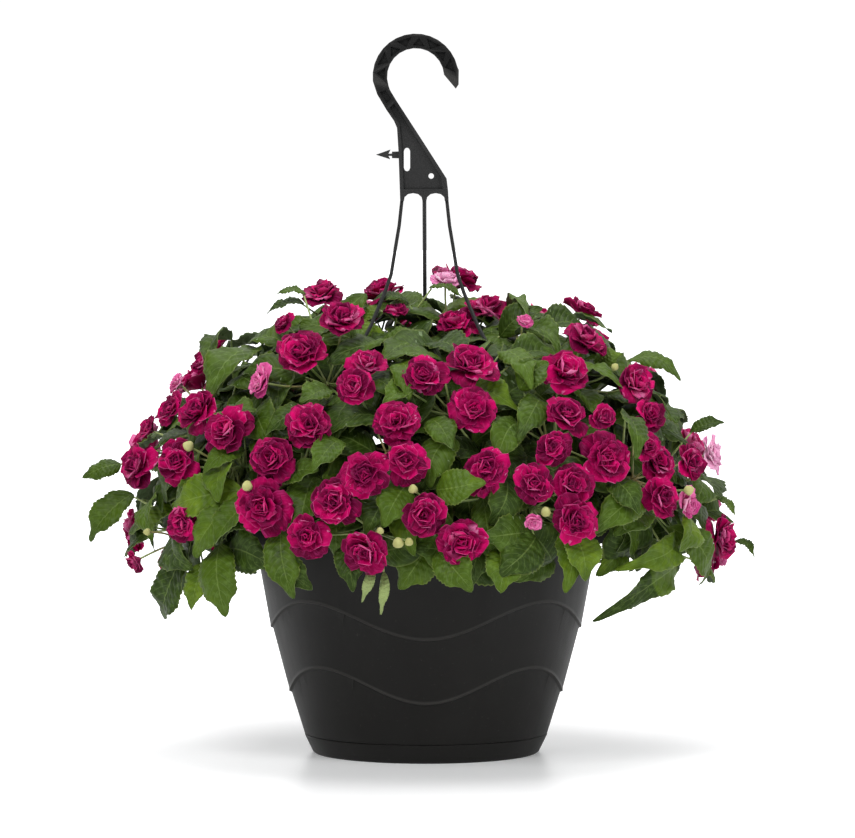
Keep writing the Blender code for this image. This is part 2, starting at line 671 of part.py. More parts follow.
def plate_object(name, points, depth, mat):
    """A flat outline, as a filled 2D curve extruded to its depth, standing in the XZ plane."""
    curve = bpy.data.curves.new(name, "CURVE")
    curve.dimensions = "2D"
    curve.fill_mode = "BOTH"
    curve.extrude = depth / 2
    stand = Matrix.Rotation(math.pi / 2, 4, "X")
    spline = curve.splines.new("POLY")
    spline.use_cyclic_u = True
    spline.points.add(len(points) - 1)
    for k, (u, v) in enumerate(points):
        p = spot(u, v)
        spline.points[k].co = (p.x, p.z, 0, 1)
    ob = bpy.data.objects.new(name + "_curve", curve)
    mesh = bpy.data.meshes.new_from_object(ob)
    mesh.transform(stand)
    b = bmesh.new()
    b.from_mesh(mesh)
    bmesh.ops.remove_doubles(b, verts=b.verts, dist=2e-5)
    bmesh.ops.recalc_face_normals(b, faces=b.faces)
    b.to_mesh(mesh)
    b.free()
    bpy.data.objects.remove(ob, do_unlink=True)
    mesh.materials.clear()
    if mat:
        mesh.materials.append(mat)
    solid = bpy.data.objects.new(name, mesh)
    PARTS.objects.link(solid)
    return solid


hanger = plate_object("hanger", outline, PLATE_T, HANGER_BLACK)


def pocket(name, points, side):
    ob = plate_object(name, points, PLATE_T, None)
    ob.location.y = side * (WEB_T / 2 + PLATE_T / 2)
    return ob


# sunk panels between the hook's flanges, parted by zigzag ribs, on both faces
edges = list(zip(hook_arc(HOOK_OUT - 3.2, 6, 186, 9), hook_arc(HOOK_IN + 3.0, 6, 186, 9)))
for side in (-1, 1):
    for k in range(0, 8):
        (ao, ai), (bo, bi) = edges[k], edges[k + 1]
        mid = ((ao[0] + bo[0]) / 2, (ao[1] + bo[1]) / 2) if k % 2 else ((ai[0] + bi[0]) / 2, (ai[1] + bi[1]) / 2)
        tri = [ai, bi, mid] if k % 2 else [ao, bo, mid]
        cut = pocket(f"panel_{k}_{side + 1}", [(p[0], p[1]) for p in tri], side)
        boolean(hanger, cut, "DIFFERENCE")
    neck = pocket(f"neck_panel_{side + 1}", [(379.6, 92.0), (385.6, 90.2), (391.4, 99.0), (386.6, 103.4)], side)
    boolean(hanger, neck, "DIFFERENCE")
    body = pocket(f"body_panel_{side + 1}", [(389.8, 107.6), (394.2, 104.0), (419.0, 142.0), (440.8, 176.4), (442.8, 189.0), (403.8, 189.0), (401.4, 142.0), (399.6, 124.0)], side)
    boolean(hanger, body, "DIFFERENCE")

slot_outline = [(403.9, 151.0), (405.0, 148.6), (407.0, 147.7), (409.0, 148.6), (410.1, 151.0), (410.1, 168.0), (409.0, 170.4), (407.0, 171.3), (405.0, 170.4), (403.9, 168.0)]
boolean(hanger, plate_object("tag_slot", slot_outline, 0.02, None), "DIFFERENCE")
hole_at = spot(431.2, 176.0)
bpy.ops.mesh.primitive_cylinder_add(vertices=12, radius=0.0022, depth=0.02, location=hole_at, rotation=(math.pi / 2, 0, 0))
bpy.context.object.name = "eye"
boolean(hanger, bpy.context.object, "DIFFERENCE")
tag = plate_object("tag_barb", [(399.6, 151.4), (392.0, 151.6), (391.8, 153.6), (388.6, 153.6), (390.6, 149.4), (375.8, 154.7), (390.4, 159.4), (388.6, 156.0), (391.8, 156.0), (392.0, 158.2), (399.6, 158.4)], 0.0030, HANGER_BLACK)
joined = [tag]

# strands: from the plate's legs out over the rim, down through it, each with a foot that catches under the skirt
def strand_path(top_u, angle):
    """Down the middle of a strand: how far it stands out from the axis, at heights read off the front elevation."""
    out = ((203.5, 0.0), (226, 0.0022), (245.4, 0.0048), (274.7, 0.0085), (293.8, 0.0138), (326, 0.0243), (346.6, 0.0325))
    start = spot(top_u, 200.5)
    side = Vector((math.cos(angle), math.sin(angle), 0))
    pts = [spot(top_u, 197.0), start]
    reach = STRAND_AT - (start.x * side.x if abs(side.x) > 0.1 else 0.0)
    flat = Vector((start.x, 0, 0))
    for v, k in out[1:]:
        f = (v - 203.5) / (532.0 - 203.5)
        if abs(side.x) > 0.1:
            x = start.x + math.copysign(k, side.x)
            y = -bow(v)
        else:
            x, y = start.x * (1 - f), STRAND_AT * (k / 0.118)
        pts.append(Vector((x, y, spot(top_u, v, y).z)))
    last, foot = pts[-1], side * STRAND_AT + Vector((0, 0, RIM_TOP + 0.006))
    back = pts[-2]
    pull = last + (last - back).normalized() * ((foot - last).length * 0.45)
    pts += bend(last, pull, foot, 6)[1:]
    pts += [side * STRAND_AT + Vector((0, 0, RIM_TOP - 0.004)), side * STRAND_AT + Vector((0, 0, RIM_TOP - 0.0297))]
    return pts


STRANDS = {"left": (401.9, math.radians(210)), "right": (446.8, math.radians(-30)), "back": (424.4, math.radians(90))}
strand_blocks = []
for name, (u, a) in STRANDS.items():
    path = strand_path(u, a)
    joined.append(tube(f"strand_{name}", path, STRAND_R, HANGER_BLACK, 1))
    strand_blocks.append(rod(path, STRAND_R + 0.0008, 6))
    side = Vector((math.cos(a), math.sin(a), 0))
    heel = side * STRAND_AT + Vector((0, 0, RIM_TOP - 0.0283))
    foot = tube(f"foot_{name}", [heel + side * 0.0036, heel - side * 0.0036], 0.0016, HANGER_BLACK, 1)
    joined.append(foot)
join(hanger, joined)
make_unions()

# ---------------------------------------------------------------- plant
front = [spot(u, v) - Vector((0, PLATE_T / 2, 0)) for u, v in outline]
sides = len(front)
plate_block = (front + [p + Vector((0, PLATE_T, 0)) for p in front], ring_faces(2, sides))
hard = [turned_shape(pot_rows), turned_shape(lambda a: SAUCER_ROWS), plate_block]
blooms, knots, stems, leaves = plan(hard + strand_blocks)
print("blooms", len(blooms), "leaves", len(leaves))
LEAF = [material(f"leaf_green_{k}", c, 0.45) for k, c in enumerate(((0.045, 0.11, 0.022), (0.06, 0.15, 0.03), (0.035, 0.085, 0.02)))]
PETAL = [material(f"magenta_petals_{k}", c, 0.55) for k, c in enumerate(((0.45, 0.008, 0.11), (0.52, 0.012, 0.14)))]

for s, stem in stems.items():
    green = LEAF[s % 3]
    (main, r), *branches = stem["parts"]
    trunk = tube(f"shoot_{s + 1:02d}", main + [main[-1] + (main[-1] - main[-2]).normalized() * 0.0015], r, green, 1)
    pieces = []
    for k, (path, br) in enumerate(branches):
        pieces.append(tube(f"branch_{s}_{k}", path, br, green, 0))
    for k, leaf in enumerate(l for l in leaves if l["shoot"] == s):
        verts, faces = leaf_shape(leaf["root"], leaf["base"], leaf["tip"], leaf["normal"], leaf["width"])
        pieces.append(mesh_object(f"leaf_{s}_{k}", verts, faces, green))
    join(trunk, pieces)

for g, knot in enumerate(knots):
    own = [b for b in blooms if b["group"] == g]
    petals = PETAL[g % 2]
    bpy.ops.mesh.primitive_ico_sphere_add(subdivisions=1, radius=0.0026, location=knot)
    node = bpy.context.object
    node.name = f"blooms_{g + 1:02d}"
    for c in list(node.users_collection):
        c.objects.unlink(node)
    PARTS.objects.link(node)
    node.data.materials.append(petals)
    pieces = []
    for k, b in enumerate(own):
        verts, faces = bloom_shape(b["place"], b["face"], b["radius"])
        pieces.append(mesh_object(f"bloom_{g}_{k}", verts, faces, petals))
        pieces.append(tube(f"pedicel_{g}_{k}", b["path"], 0.0009, petals, 0))
    join(node, pieces)

make_unions()
for ob in PARTS.objects:
    if ob.type == "MESH" and ob.name in ("pot", "saucer"):
        ob.data.shade_smooth()
        ob.data.set_sharp_from_angle(angle=math.radians(35))
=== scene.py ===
"""Busy lizzie with double flowers in a hanging pot: its looks, over the solid model."""

import math
import random

import bpy
import numpy as np
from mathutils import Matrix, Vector, noise
from mathutils.bvhtree import BVHTree


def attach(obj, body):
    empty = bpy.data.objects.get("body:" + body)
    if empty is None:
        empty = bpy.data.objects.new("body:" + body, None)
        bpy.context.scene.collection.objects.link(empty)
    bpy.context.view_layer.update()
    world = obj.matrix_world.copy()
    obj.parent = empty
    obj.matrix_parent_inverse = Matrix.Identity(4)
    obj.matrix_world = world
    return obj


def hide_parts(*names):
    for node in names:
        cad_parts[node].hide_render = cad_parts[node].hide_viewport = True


# ---------------------------------------------------------------- driving dimensions
RIM_R = 0.160  # outer radius of the rim's skirt
RIM_TOP = 0.1868  # height of the rim's flat top
RIM_SKIRT = 0.0142  # height of the skirt that hangs from the rim
WALL = 0.0020  # wall of the pot
NECK_R = 0.1367  # outer radius of the wall right under the rim
SAUCER_R = 0.0976  # outer radius of the saucer's lip
SAUCER_H = 0.0152  # height of the saucer
SAUCER_FOOT_R = 0.0893  # radius of the flat that the saucer stands on
SAUCER_WALL = 0.0018
GAP = 0.0003  # clearance between pieces that touch
STEP_OUT = 0.0014  # how far each waved step stands proud of the wall below it
LOW_WAVE = (0.0615, 0.0128)  # height and half swing of the lower waved step
HIGH_WAVE = (0.1136, 0.0134)  # height and half swing of the upper waved step
SOIL_TOP = 0.1720
STRAND_R = 0.0016  # radius of a hanger strand
STRAND_AT = 0.1545  # radius at which the strands pass through the rim
PLATE_T = 0.0086  # depth of the hook's flanges
WEB_T = 0.0026  # thickness of the hook's web
SEGMENTS = 40

# ---------------------------------------------------------------- front elevation
# Places on the plant and on the hanger are read off a front elevation, counted in grid steps of 0.8 mm
# with (427.5, 419) at the middle of the sheet, seen from 4 m and 2.7 degrees above the horizontal.
STEP = 0.0008
TILT = math.radians(2.7)
DIST = 4.0
MID_U, MID_V = 427.5, 419.0
TARGET = Vector((0.0012, 0.0, 0.2667))
FWD = Vector((0.0, math.cos(TILT), -math.sin(TILT)))
UPV = Vector((0.0, math.sin(TILT), math.cos(TILT)))
EYE = TARGET - FWD * DIST


def sight(u, v):
    return FWD + Vector((1, 0, 0)) * ((u - MID_U) * STEP / DIST) + UPV * ((MID_V - v) * STEP / DIST)


def spot(u, v, y=0.0):
    d = sight(u, v)
    return EYE + d * ((y - EYE.y) / d.y)


def sheet(p):
    """The place of a point on the front elevation."""
    q = p - EYE
    d = q.dot(FWD)
    return MID_U + q.x / d * DIST / STEP, MID_V - q.dot(UPV) / d * DIST / STEP


def bow(v):
    """How far the front strands bow forward at a height on the front elevation, pushed out by the foliage."""
    return 0.070 * (max(0.0, v - 203.5) / 143.1) ** 1.9


def shelf(u, v):
    """The furthest forward that the top of the plant comes, where the strands lie on it."""
    return -bow(v) if 352 < u < 502 and v < 352 else -1.0


# The mound of foliage is an ellipsoid round the rim.
MOUND_C = Vector((0.0, 0.0, 0.185))
MOUND_R = Vector((0.243, 0.225, 0.195))


def scaled(p):
    return Vector((p.x / MOUND_R.x, p.y / MOUND_R.y, p.z / MOUND_R.z))


def on_mound(u, v, k=1.0):
    d, o = scaled(sight(u, v)), scaled(EYE - MOUND_C)
    a, b, c = d.dot(d), o.dot(d), o.dot(o) - k * k
    disc = b * b - a * c
    t = (-b - math.sqrt(disc)) / a if disc > 0 else -b / a
    return EYE + sight(u, v) * t


def outward(p):
    q = p - MOUND_C
    return Vector((q.x / MOUND_R.x**2, q.y / MOUND_R.y**2, q.z / MOUND_R.z**2)).normalized()


# ---------------------------------------------------------------- the plant's plan
# Blooms seen from the front: u, v, diameter in grid steps, turn to the right, turn upwards.
BLOOMS = [
    (301, 353, 55, 0, 0), (463, 542, 50, 0, -0.2), (366, 551, 50, -0.5, -0.5), (264, 508, 56, 0, 0),
    (342, 320, 48, 0.2, 0.1), (322, 294, 42, 0, 0.3), (227, 429, 52, -0.1, 0), (178, 463, 46, 0.3, -0.1),
    (137, 466, 46, 0, 0), (198, 412, 45, -0.1, 0.1), (308, 427, 50, 0, 0), (273, 461, 50, 0, 0),
    (336, 501, 52, 0, 0.2), (309, 537, 42, 0.1, 0), (184, 524, 38, 0.1, -0.1), (406, 463, 44, 0.2, 0),
    (366, 473, 48, 0, 0), (398, 421, 50, 0, 0.2), (426, 515, 46, 0.1, -0.2), (425, 376, 46, -0.1, 0),
    (474, 407, 50, 0, 0), (472, 366, 54, 0.1, 0.3), (456, 324, 45, 0, 0), (487, 308, 44, 0.1, 0.3),
    (485, 470, 45, -0.1, 0), (535, 483, 40, 0, 0), (573, 483, 45, 0, 0.1), (575, 518, 50, 0, 0),
    (605, 457, 52, 0.1, 0), (553, 448, 38, -0.1, -0.1), (566, 416, 44, 0, 0.3), (602, 418, 30, 0.1, 0),
    (564, 372, 52, 0.1, 0.2), (585, 339, 46, 0.1, 0.3), (635, 384, 46, 0.2, 0), (648, 416, 38, 0.2, 0),
    (657, 462, 44, 0.1, 0.2), (660, 496, 44, 0.1, 0), (690, 461, 38, 0.3, 0.1), (722, 538, 46, 0.6, 0.1),
    (354, 386, 42, -0.1, -0.1), (367, 364, 40, 0.1, 0.3), (171, 409, 38, -0.4, 0.1), (148, 429, 30, -0.4, 0.3),
    (204, 363, 32, -0.6, 0.2), (261, 382, 36, -1.4, 0), (285, 324, 26, -0.7, 0.2), (178, 384, 25, -0.9, 0.3),
    (136, 561, 27, -0.6, -0.6), (446, 281, 34, 0.2, 1.0), (524, 323, 22, 0.6, 0.4), (711, 454, 40, 1.3, 0.2),
    (533, 522, 20, 0, -0.6), (646, 446, 34, 0.2, 0), (687, 503, 34, 0.9, -0.3), (396, 312, 28, 0, 0.6),
]  # fmt: skip

# Buds seen from the front: u, v, diameter in grid steps.
BUDS = [
    (247, 486, 13), (398, 543, 13), (409, 542, 10), (413, 489, 11), (188, 446, 13), (546, 512, 12),
    (615, 367, 9), (689, 490, 12), (380, 531, 9), (147, 532, 9),
]  # fmt: skip

# Leaves seen from the front: base u, v, tip u, v, width in grid steps, lift of the face towards the viewer.
LEAVES = [
    (121, 464, 82, 477, 24, 1.0), (133, 494, 88, 539, 30, 1.0), (186, 550, 159, 620, 36, 0.6),
    (204, 562, 190, 609, 26, 0.5), (220, 544, 226, 617, 44, 0.8), (281, 528, 292, 597, 34, 0.6),
    (243, 490, 170, 506, 42, 0.5), (240, 500, 192, 556, 34, 0.5), (628, 360, 682, 375, 26, 0.8),
    (676, 565, 593, 626, 34, 0.5), (668, 527, 710, 584, 32, 0.5), (673, 536, 628, 566, 30, 0.3),
    (640, 490, 597, 529, 36, 0.7), (536, 536, 500, 574, 40, 0.9), (571, 533, 586, 579, 38, 0.6),
    (437, 551, 472, 590, 34, 0.5), (503, 547, 500, 592, 38, 0.5), (436, 490, 483, 481, 36, 0.6),
    (407, 485, 384, 523, 34, 0.5), (262, 352, 207, 394, 46, 0.6), (288, 367, 276, 411, 32, 0.5),
    (306, 294, 277, 294, 16, 0.5), (304, 303, 267, 312, 18, 0.5), (690, 432, 723, 420, 16, 0.6),
    (735, 541, 755, 556, 12, 0.5), (715, 497, 736, 515, 16, 0.6), (232, 340, 206, 366, 26, 0.3),
    (378, 306, 356, 334, 24, 0.4), (409, 303, 374, 297, 20, 0.4), (515, 335, 560, 348, 26, 0.4),
    (520, 390, 548, 362, 30, 0.5), (500, 352, 532, 380, 26, 0.4), (595, 365, 620, 352, 22, 0.7),
    (520, 425, 497, 462, 32, 0.5), (540, 400, 518, 440, 30, 0.5), (625, 415, 640, 452, 28, 0.4),
    (610, 480, 640, 512, 30, 0.5), (245, 450, 203, 468, 28, 0.5), (290, 480, 318, 470, 26, 0.4),
    (340, 440, 312, 470, 28, 0.4), (430, 420, 452, 447, 28, 0.4), (330, 390, 300, 402, 28, 0.5),
    (410, 390, 384, 402, 24, 0.4), (424, 342, 448, 363, 28, 0.5), (345, 545, 352, 590, 26, 0.4),
    (372, 570, 362, 600, 10, 0.1), (384, 572, 380, 612, 9, 0.1), (160, 500, 146, 535, 26, 0.4),
    (400, 314, 441, 322, 32, 0.5), (380, 345, 420, 338, 20, 0.5), (429, 288, 463, 297, 15, 0.3),
    (491, 328, 488, 357, 24, 0.5), (508, 310, 531, 312, 14, 0.3),
]  # fmt: skip

SHOOTS = 18
GROUPS = 36
REAR_BLOOM = (38, 52)  # diameters of the blooms round the sides and back, in grid steps


def dome_points(count, turn=0.0):
    """Evenly spread directions on a sphere, as seeds in a flower head."""
    golden = math.pi * (3 - math.sqrt(5))
    for i in range(count):
        z = 1 - 2 * (i + 0.5) / count
        r = math.sqrt(1 - z * z)
        a = golden * i + turn
        yield Vector((r * math.cos(a), r * math.sin(a), z))


def ring_faces(rings, sides, first=0):
    """Faces of a closed loft whose rings follow each other, with a cap at each end."""
    faces = [tuple(first + sides - 1 - i for i in range(sides))]
    for k in range(rings - 1):
        for i in range(sides):
            a, b = first + k * sides + i, first + k * sides + (i + 1) % sides
            faces.append((a, b, b + sides, a + sides))
    faces.append(tuple(first + (rings - 1) * sides + i for i in range(sides)))
    return faces


def rod(points, radius, sides=4):
    """A plain rod along points, as vertices and faces."""
    verts = []
    for k, p in enumerate(points):
        t = (points[min(k + 1, len(points) - 1)] - points[max(k - 1, 0)]).normalized()
        a = t.orthogonal().normalized()
        b = t.cross(a)
        if k:
            a = (last - t * last.dot(t)).normalized()
            b = t.cross(a)
        last = a
        r = radius[k] if isinstance(radius, (list, tuple)) else radius
        verts += [p + (a * math.cos(q) + b * math.sin(q)) * r for q in (2 * math.pi * i / sides for i in range(sides))]
    return verts, ring_faces(len(points), sides)


def bend(a, b, c, n=5):
    """Points on a smooth arc from a to c that b pulls to its side."""
    return [a * (1 - t) ** 2 + b * 2 * t * (1 - t) + c * t * t for t in (i / (n - 1) for i in range(n))]


class Room:
    """What already stands in the mound, so that nothing else grows through it."""

    def __init__(self):
        self.items = []

    def add(self, shape, owner, kind):
        verts, faces = shape
        mid = sum(verts, Vector()) / len(verts)
        self.items.append((BVHTree.FromPolygons(verts, faces), mid, max((v - mid).length for v in verts), owner, kind))

    def free(self, shape, skip=lambda owner, kind: False):
        verts, faces = shape
        tree = BVHTree.FromPolygons(verts, faces)
        mid = sum(verts, Vector()) / len(verts)
        reach = max((v - mid).length for v in verts)
        for other, centre, r, owner, kind in self.items:
            if (mid - centre).length > reach + r or skip(owner, kind):
                continue
            if tree.overlap(other):
                return False
        return True


def bloom_shape(centre, face, radius, grow=0.0):
    """A shallow rosette: a blunt back, its widest ring and a raised front ring, closed flat across the middle."""
    a = face.orthogonal().normalized()
    b = face.cross(a)
    rings = ((-0.46, 0.24), (-0.02, 0.96), (0.42, 0.50))
    sides, verts = 6, []
    for h, r in rings:
        for i in range(sides):
            q = 2 * math.pi * i / sides
            verts.append(centre + face * (h * radius + math.copysign(grow, h)) + (a * math.cos(q) + b * math.sin(q)) * (r * radius + grow))
    return verts, ring_faces(3, sides)


def leaf_shape(root, base, tip, normal, width, grow=0.0, blade_only=False):
    """A leaf with its petiole: a loft of flat diamonds, folded a little along the midrib and drooping to its tip."""
    along = tip - base
    length = along.length
    ahead = along / length
    side = ahead.cross(normal).normalized()
    up = side.cross(ahead).normalized()
    rows = []
    if blade_only:
        rows.append((base, side, up, 0.0011, 0.0010, 0.0))
    else:
        way = (base - root).normalized()
        half = ahead.rotation_difference((way + ahead).normalized())
        rest = ahead.rotation_difference(way)
        rows.append((root, rest @ side, rest @ up, 0.0010, 0.0010, 0.0))
        rows.append((base, half @ side, half @ up, 0.0011, 0.0010, 0.0))
    rows.append((base + along * 0.44 + up * (length * 0.09), side, up, width * 0.47, 0.0009, width * 0.10))
    rows.append((tip, side, up, 0.0008, 0.0006, 0.0))
    verts = []
    for p, across, above, w, t, lift in rows:
        w, t = w + grow, t + grow
        verts += [p - across * w + above * lift, p - above * t, p + across * w + above * lift, p + above * t]
    return verts, ring_faces(len(rows), 4)


def plan(blocks):
    """Where every stem, bloom, bud and leaf goes, so that no two pieces meet. blocks are the shapes already there."""
    rnd = random.Random(11)
    room = Room()
    for shape in blocks:
        room.add(shape, -1, "hard")
    blooms = []

    def try_bloom(place, face, radius, tag):
        if room.free(bloom_shape(place, face, radius, 0.0008)):
            room.add(bloom_shape(place, face, radius), len(blooms), "bloom")
            blooms.append({"place": place, "face": face, "radius": radius, "tag": tag})
            return True
        return False

    for n, (u, v, size, turn, lift) in enumerate(BLOOMS):
        first = on_mound(u, v, 0.985)
        if first.y < shelf(u, v):
            first = spot(u, v, shelf(u, v) + size * STEP * 0.5 + 0.003)
        face = (outward(first) * 0.75 - FWD * 0.45 + Vector((turn, 0, lift))).normalized()
        ray = sight(u, v)
        for shift in (0, 6, -6, 12, -12, 18, -18, 24, -24, 30, 36, 42, 50, 60):
            place = first + ray * (shift * 0.001)
            radius = size * STEP * 0.5 * (place - EYE).length / DIST
            if try_bloom(place, face, radius, n):
                break
        else:
            print("bloom left out", u, v)
    for d in dome_points(150, 0.4):
        p = MOUND_C + Vector((d.x * MOUND_R.x, d.y * MOUND_R.y, d.z * MOUND_R.z)) * 0.975
        n = outward(p)
        if n.dot(FWD) < -0.02 or p.z < 0.135 or rnd.random() < 0.08:
            continue
        for _ in range(6):
            q = p + Vector((rnd.uniform(-1, 1), rnd.uniform(-1, 1), rnd.uniform(-1, 1))) * 0.012
            face = (n + Vector((rnd.uniform(-1, 1), rnd.uniform(-1, 1), rnd.uniform(-0.6, 1))) * 0.28).normalized()
            if q.y < shelf(*sheet(q)) + 0.02 or any((q - b["place"]).length < 0.047 for b in blooms):
                continue
            if try_bloom(q, face, rnd.uniform(*REAR_BLOOM) * STEP * 0.5, 1000 + len(blooms)):
                break
    for n, (u, v, size) in enumerate(BUDS):
        first = on_mound(u, v, 1.0)
        for shift in (0, -6, 6, -12, 12, -18, 18, 24, 30):
            place = first + sight(u, v) * (shift * 0.001)
            if try_bloom(place, outward(place), size * STEP * 0.5, 2000 + n):
                break

    # neighbouring blooms share a branch end, and neighbouring branches share a shoot
    def gather(points, count):
        mids = [points[0]]
        while len(mids) < count:
            mids.append(max(points, key=lambda p: min((p - m).length for m in mids)))
        for _ in range(8):
            near = [min(range(count), key=lambda m: (p - mids[m]).length) for p in points]
            for m in range(count):
                own = [p for p, k in zip(points, near) if k == m]
                mids[m] = sum(own, Vector()) / len(own) if own else mids[m]
        return near

    groups = gather([b["place"] for b in blooms], GROUPS)
    for b, g in zip(blooms, groups):
        b["group"] = g
    knots = []
    for g in range(GROUPS):
        own = [b for b in blooms if b["group"] == g]
        back = sum((b["place"] - b["face"] * (b["radius"] * 0.46) for b in own), Vector()) / len(own)
        knots.append(back - outward(back) * 0.030)
    shoots = gather(knots, SHOOTS)

    # stems: one from the soil to a fork, and a branch from there to each knot
    stems = {}
    for s in range(SHOOTS):
        ends = [g for g in range(GROUPS) if shoots[g] == s]
        mid = sum((knots[g] for g in ends), Vector()) / len(ends)
        flat = Vector((mid.x, mid.y, 0))
        for attempt in range(80):
            jog = Vector((rnd.uniform(-1, 1), rnd.uniform(-1, 1), 0)) * (0.002 * attempt ** 0.7)
            foot = flat * 0.42 + jog
            foot = foot.normalized() * min(max(foot.length, 0.012), 0.105)
            foot.z = SOIL_TOP + 0.0006
            fork = flat * 0.52 + Vector((0, 0, max(0.232, foot.z + 0.5 * (mid.z - foot.z)) + 0.0005 * attempt)) + jog
            if Vector((fork.x, fork.y)).length > 0.128:
                fork = Vector((fork.x, fork.y, 0)).normalized() * 0.128 + Vector((0, 0, fork.z))
            main = bend(foot, Vector((foot.x, foot.y, (foot.z + fork.z) / 2)), fork, 3)
            parts = [(main, 0.0032)]
            for g in ends:
                knot = knots[g]
                pull = (fork + knot) * 0.5 + Vector((0, 0, 0.012 + 0.25 * max(0, fork.z - knot.z)))
                branch = bend(fork, pull, knot, 4)
                stop = (branch[-1] - branch[-2]).normalized()
                branch[-1] = knot - stop * 0.0034
                branch[0] = branch[0] + Vector((rnd.uniform(-1, 1), rnd.uniform(-1, 1), 0.0)) * 0.0006
                parts.append((branch, 0.0021 + 0.0002 * rnd.random()))
            if all(room.free(rod(p, r + 0.0008)) for p, r in parts):
                break
        else:
            print("shoot meets another", s)
        for p, r in parts:
            room.add(rod(p, r), s, "stem")
        stems[s] = {"parts": parts, "ends": ends}

    # pedicels: from the knot to the back of each bloom
    for n, b in enumerate(blooms):
        knot = knots[b["group"]]
        end = b["place"] - b["face"] * (b["radius"] * 0.36)
        for attempt in range(60):
            jog = Vector((rnd.uniform(-1, 1), rnd.uniform(-1, 1), rnd.uniform(-1, 1))) * (0.0015 * attempt)
            pull = end - b["face"] * (0.35 * (end - knot).length) + jog
            path = bend(knot, pull, end, 3)
            mine = b["group"]
            if room.free(rod(path, 0.0016), lambda o, k: (k == "bloom" and o == n) or (k == "pedicel" and o == mine)):
                break
        else:
            print("pedicel meets another piece", n, b["tag"])
        b["path"] = path
        room.add(rod(path, 0.0009), mine, "pedicel")
    for g, knot in enumerate(knots):
        room.add(bloom_shape(knot, Vector((0, 0, 1)), 0.0026), g, "knot")

    # leaves: each grows from the nearest branch that it can reach
    leaves = []
    posts = []
    for s in stems:
        for path, _ in stems[s]["parts"][1:]:
            for a, b in zip(path, path[1:]):
                posts += [(a.lerp(b, 0.25), s), (a.lerp(b, 0.70), s)]

    def try_leaf(base, tip, normal, width, tag):
        near = sorted(posts, key=lambda q: (q[0] - base).length)[:6]
        blade = leaf_shape(base, base, tip, normal, width, 0.0006, True)
        if not room.free(blade):
            return False
        for p, s in near:
            if (base - p).normalized().dot((tip - base).normalized()) < -0.35 or (base - p).length < 0.006:
                continue
            p = p + Vector((rnd.uniform(-1, 1), rnd.uniform(-1, 1), rnd.uniform(-1, 1))) * 0.0005
            whole = leaf_shape(p, base, tip, normal, width, 0.0007)
            if room.free(whole, lambda o, k: (k in ("stem", "leaf") and o == s)) and room.free(blade):
                room.add(leaf_shape(p, base, tip, normal, width), s, "leaf")
                leaves.append({"root": p, "base": base, "tip": tip, "normal": normal, "width": width, "shoot": s, "tag": tag})
                return True
        return False

    for n, (u, v, tu, tv, width, lift) in enumerate(LEAVES):
        base, tip = on_mound(u, v, 0.90), on_mound(tu, tv, 1.0)
        if base.y < shelf(u, v) or tip.y < shelf(tu, tv):
            base, tip = spot(u, v, shelf(u, v) + 0.012), spot(tu, tv, shelf(u, v) + 0.006)
        ray = sight(u, v)
        normal = (outward((base + tip) / 2) * 0.8 + Vector((0, 0, 0.3)) - FWD * lift).normalized()
        for shift in (0, 5, -5, 10, -10, 15, -15, 20, -20, 26, -26, 32, 40, 50):
            if shift < 0 and shelf(u, v) > -1:
                continue
            if try_leaf(base + ray * shift * 0.001, tip + ray * shift * 0.0011, normal, width * STEP, n):
                break
        else:
            print("leaf left out", u, v)
    for k, d in enumerate(dome_points(200, 1.1)):
        if d.z < -0.24:
            continue
        depth = (0.93, 0.99, 0.88)[k % 3]
        base = MOUND_C + Vector((d.x * MOUND_R.x, d.y * MOUND_R.y, d.z * MOUND_R.z)) * (depth - 0.10)
        n = outward(base)
        down = (Vector((n.x, n.y, 0)) * 1.0 - Vector((0, 0, 0.75))).normalized()
        down = (down - n * down.dot(n)).normalized() if abs(n.z) < 0.96 else n.orthogonal()
        swirl = n.cross(down)
        for _ in range(3):
            q = rnd.uniform(-1.1, 1.1)
            way = (down * math.cos(q) + swirl * math.sin(q) + n * rnd.uniform(0.15, 0.6)).normalized()
            length, width = rnd.uniform(0.042, 0.058), rnd.uniform(0.024, 0.032)
            tip = base + way * length
            inside = scaled(tip - MOUND_C).length
            if inside > 1.03 or tip.z < (0.142 if tip.y < -0.05 else 0.122) or min(base.y, tip.y) < shelf(*sheet(tip)) + 0.004:
                continue
            if try_leaf(base, tip, (n + Vector((0, 0, 0.35))).normalized(), width, 100 + k):
                break
    return blooms, knots, stems, leaves, room



def wall_radius(z):
    """Outer radius of the pot's wall at a height, without the waved steps."""
    marks = ((0.0152, 0.0980), (0.0492, 0.1090), (0.1030, 0.1236), (0.1436, 0.1318), (0.1720, NECK_R), (0.20, 0.1405))
    for (z0, r0), (z1, r1) in zip(marks, marks[1:]):
        if z <= z1:
            return r0 + (r1 - r0) * (z - z0) / (z1 - z0)
    return marks[-1][1]


def wave(z, swing, angle):
    return z - swing * math.cos(4 * (angle + math.pi / 2))


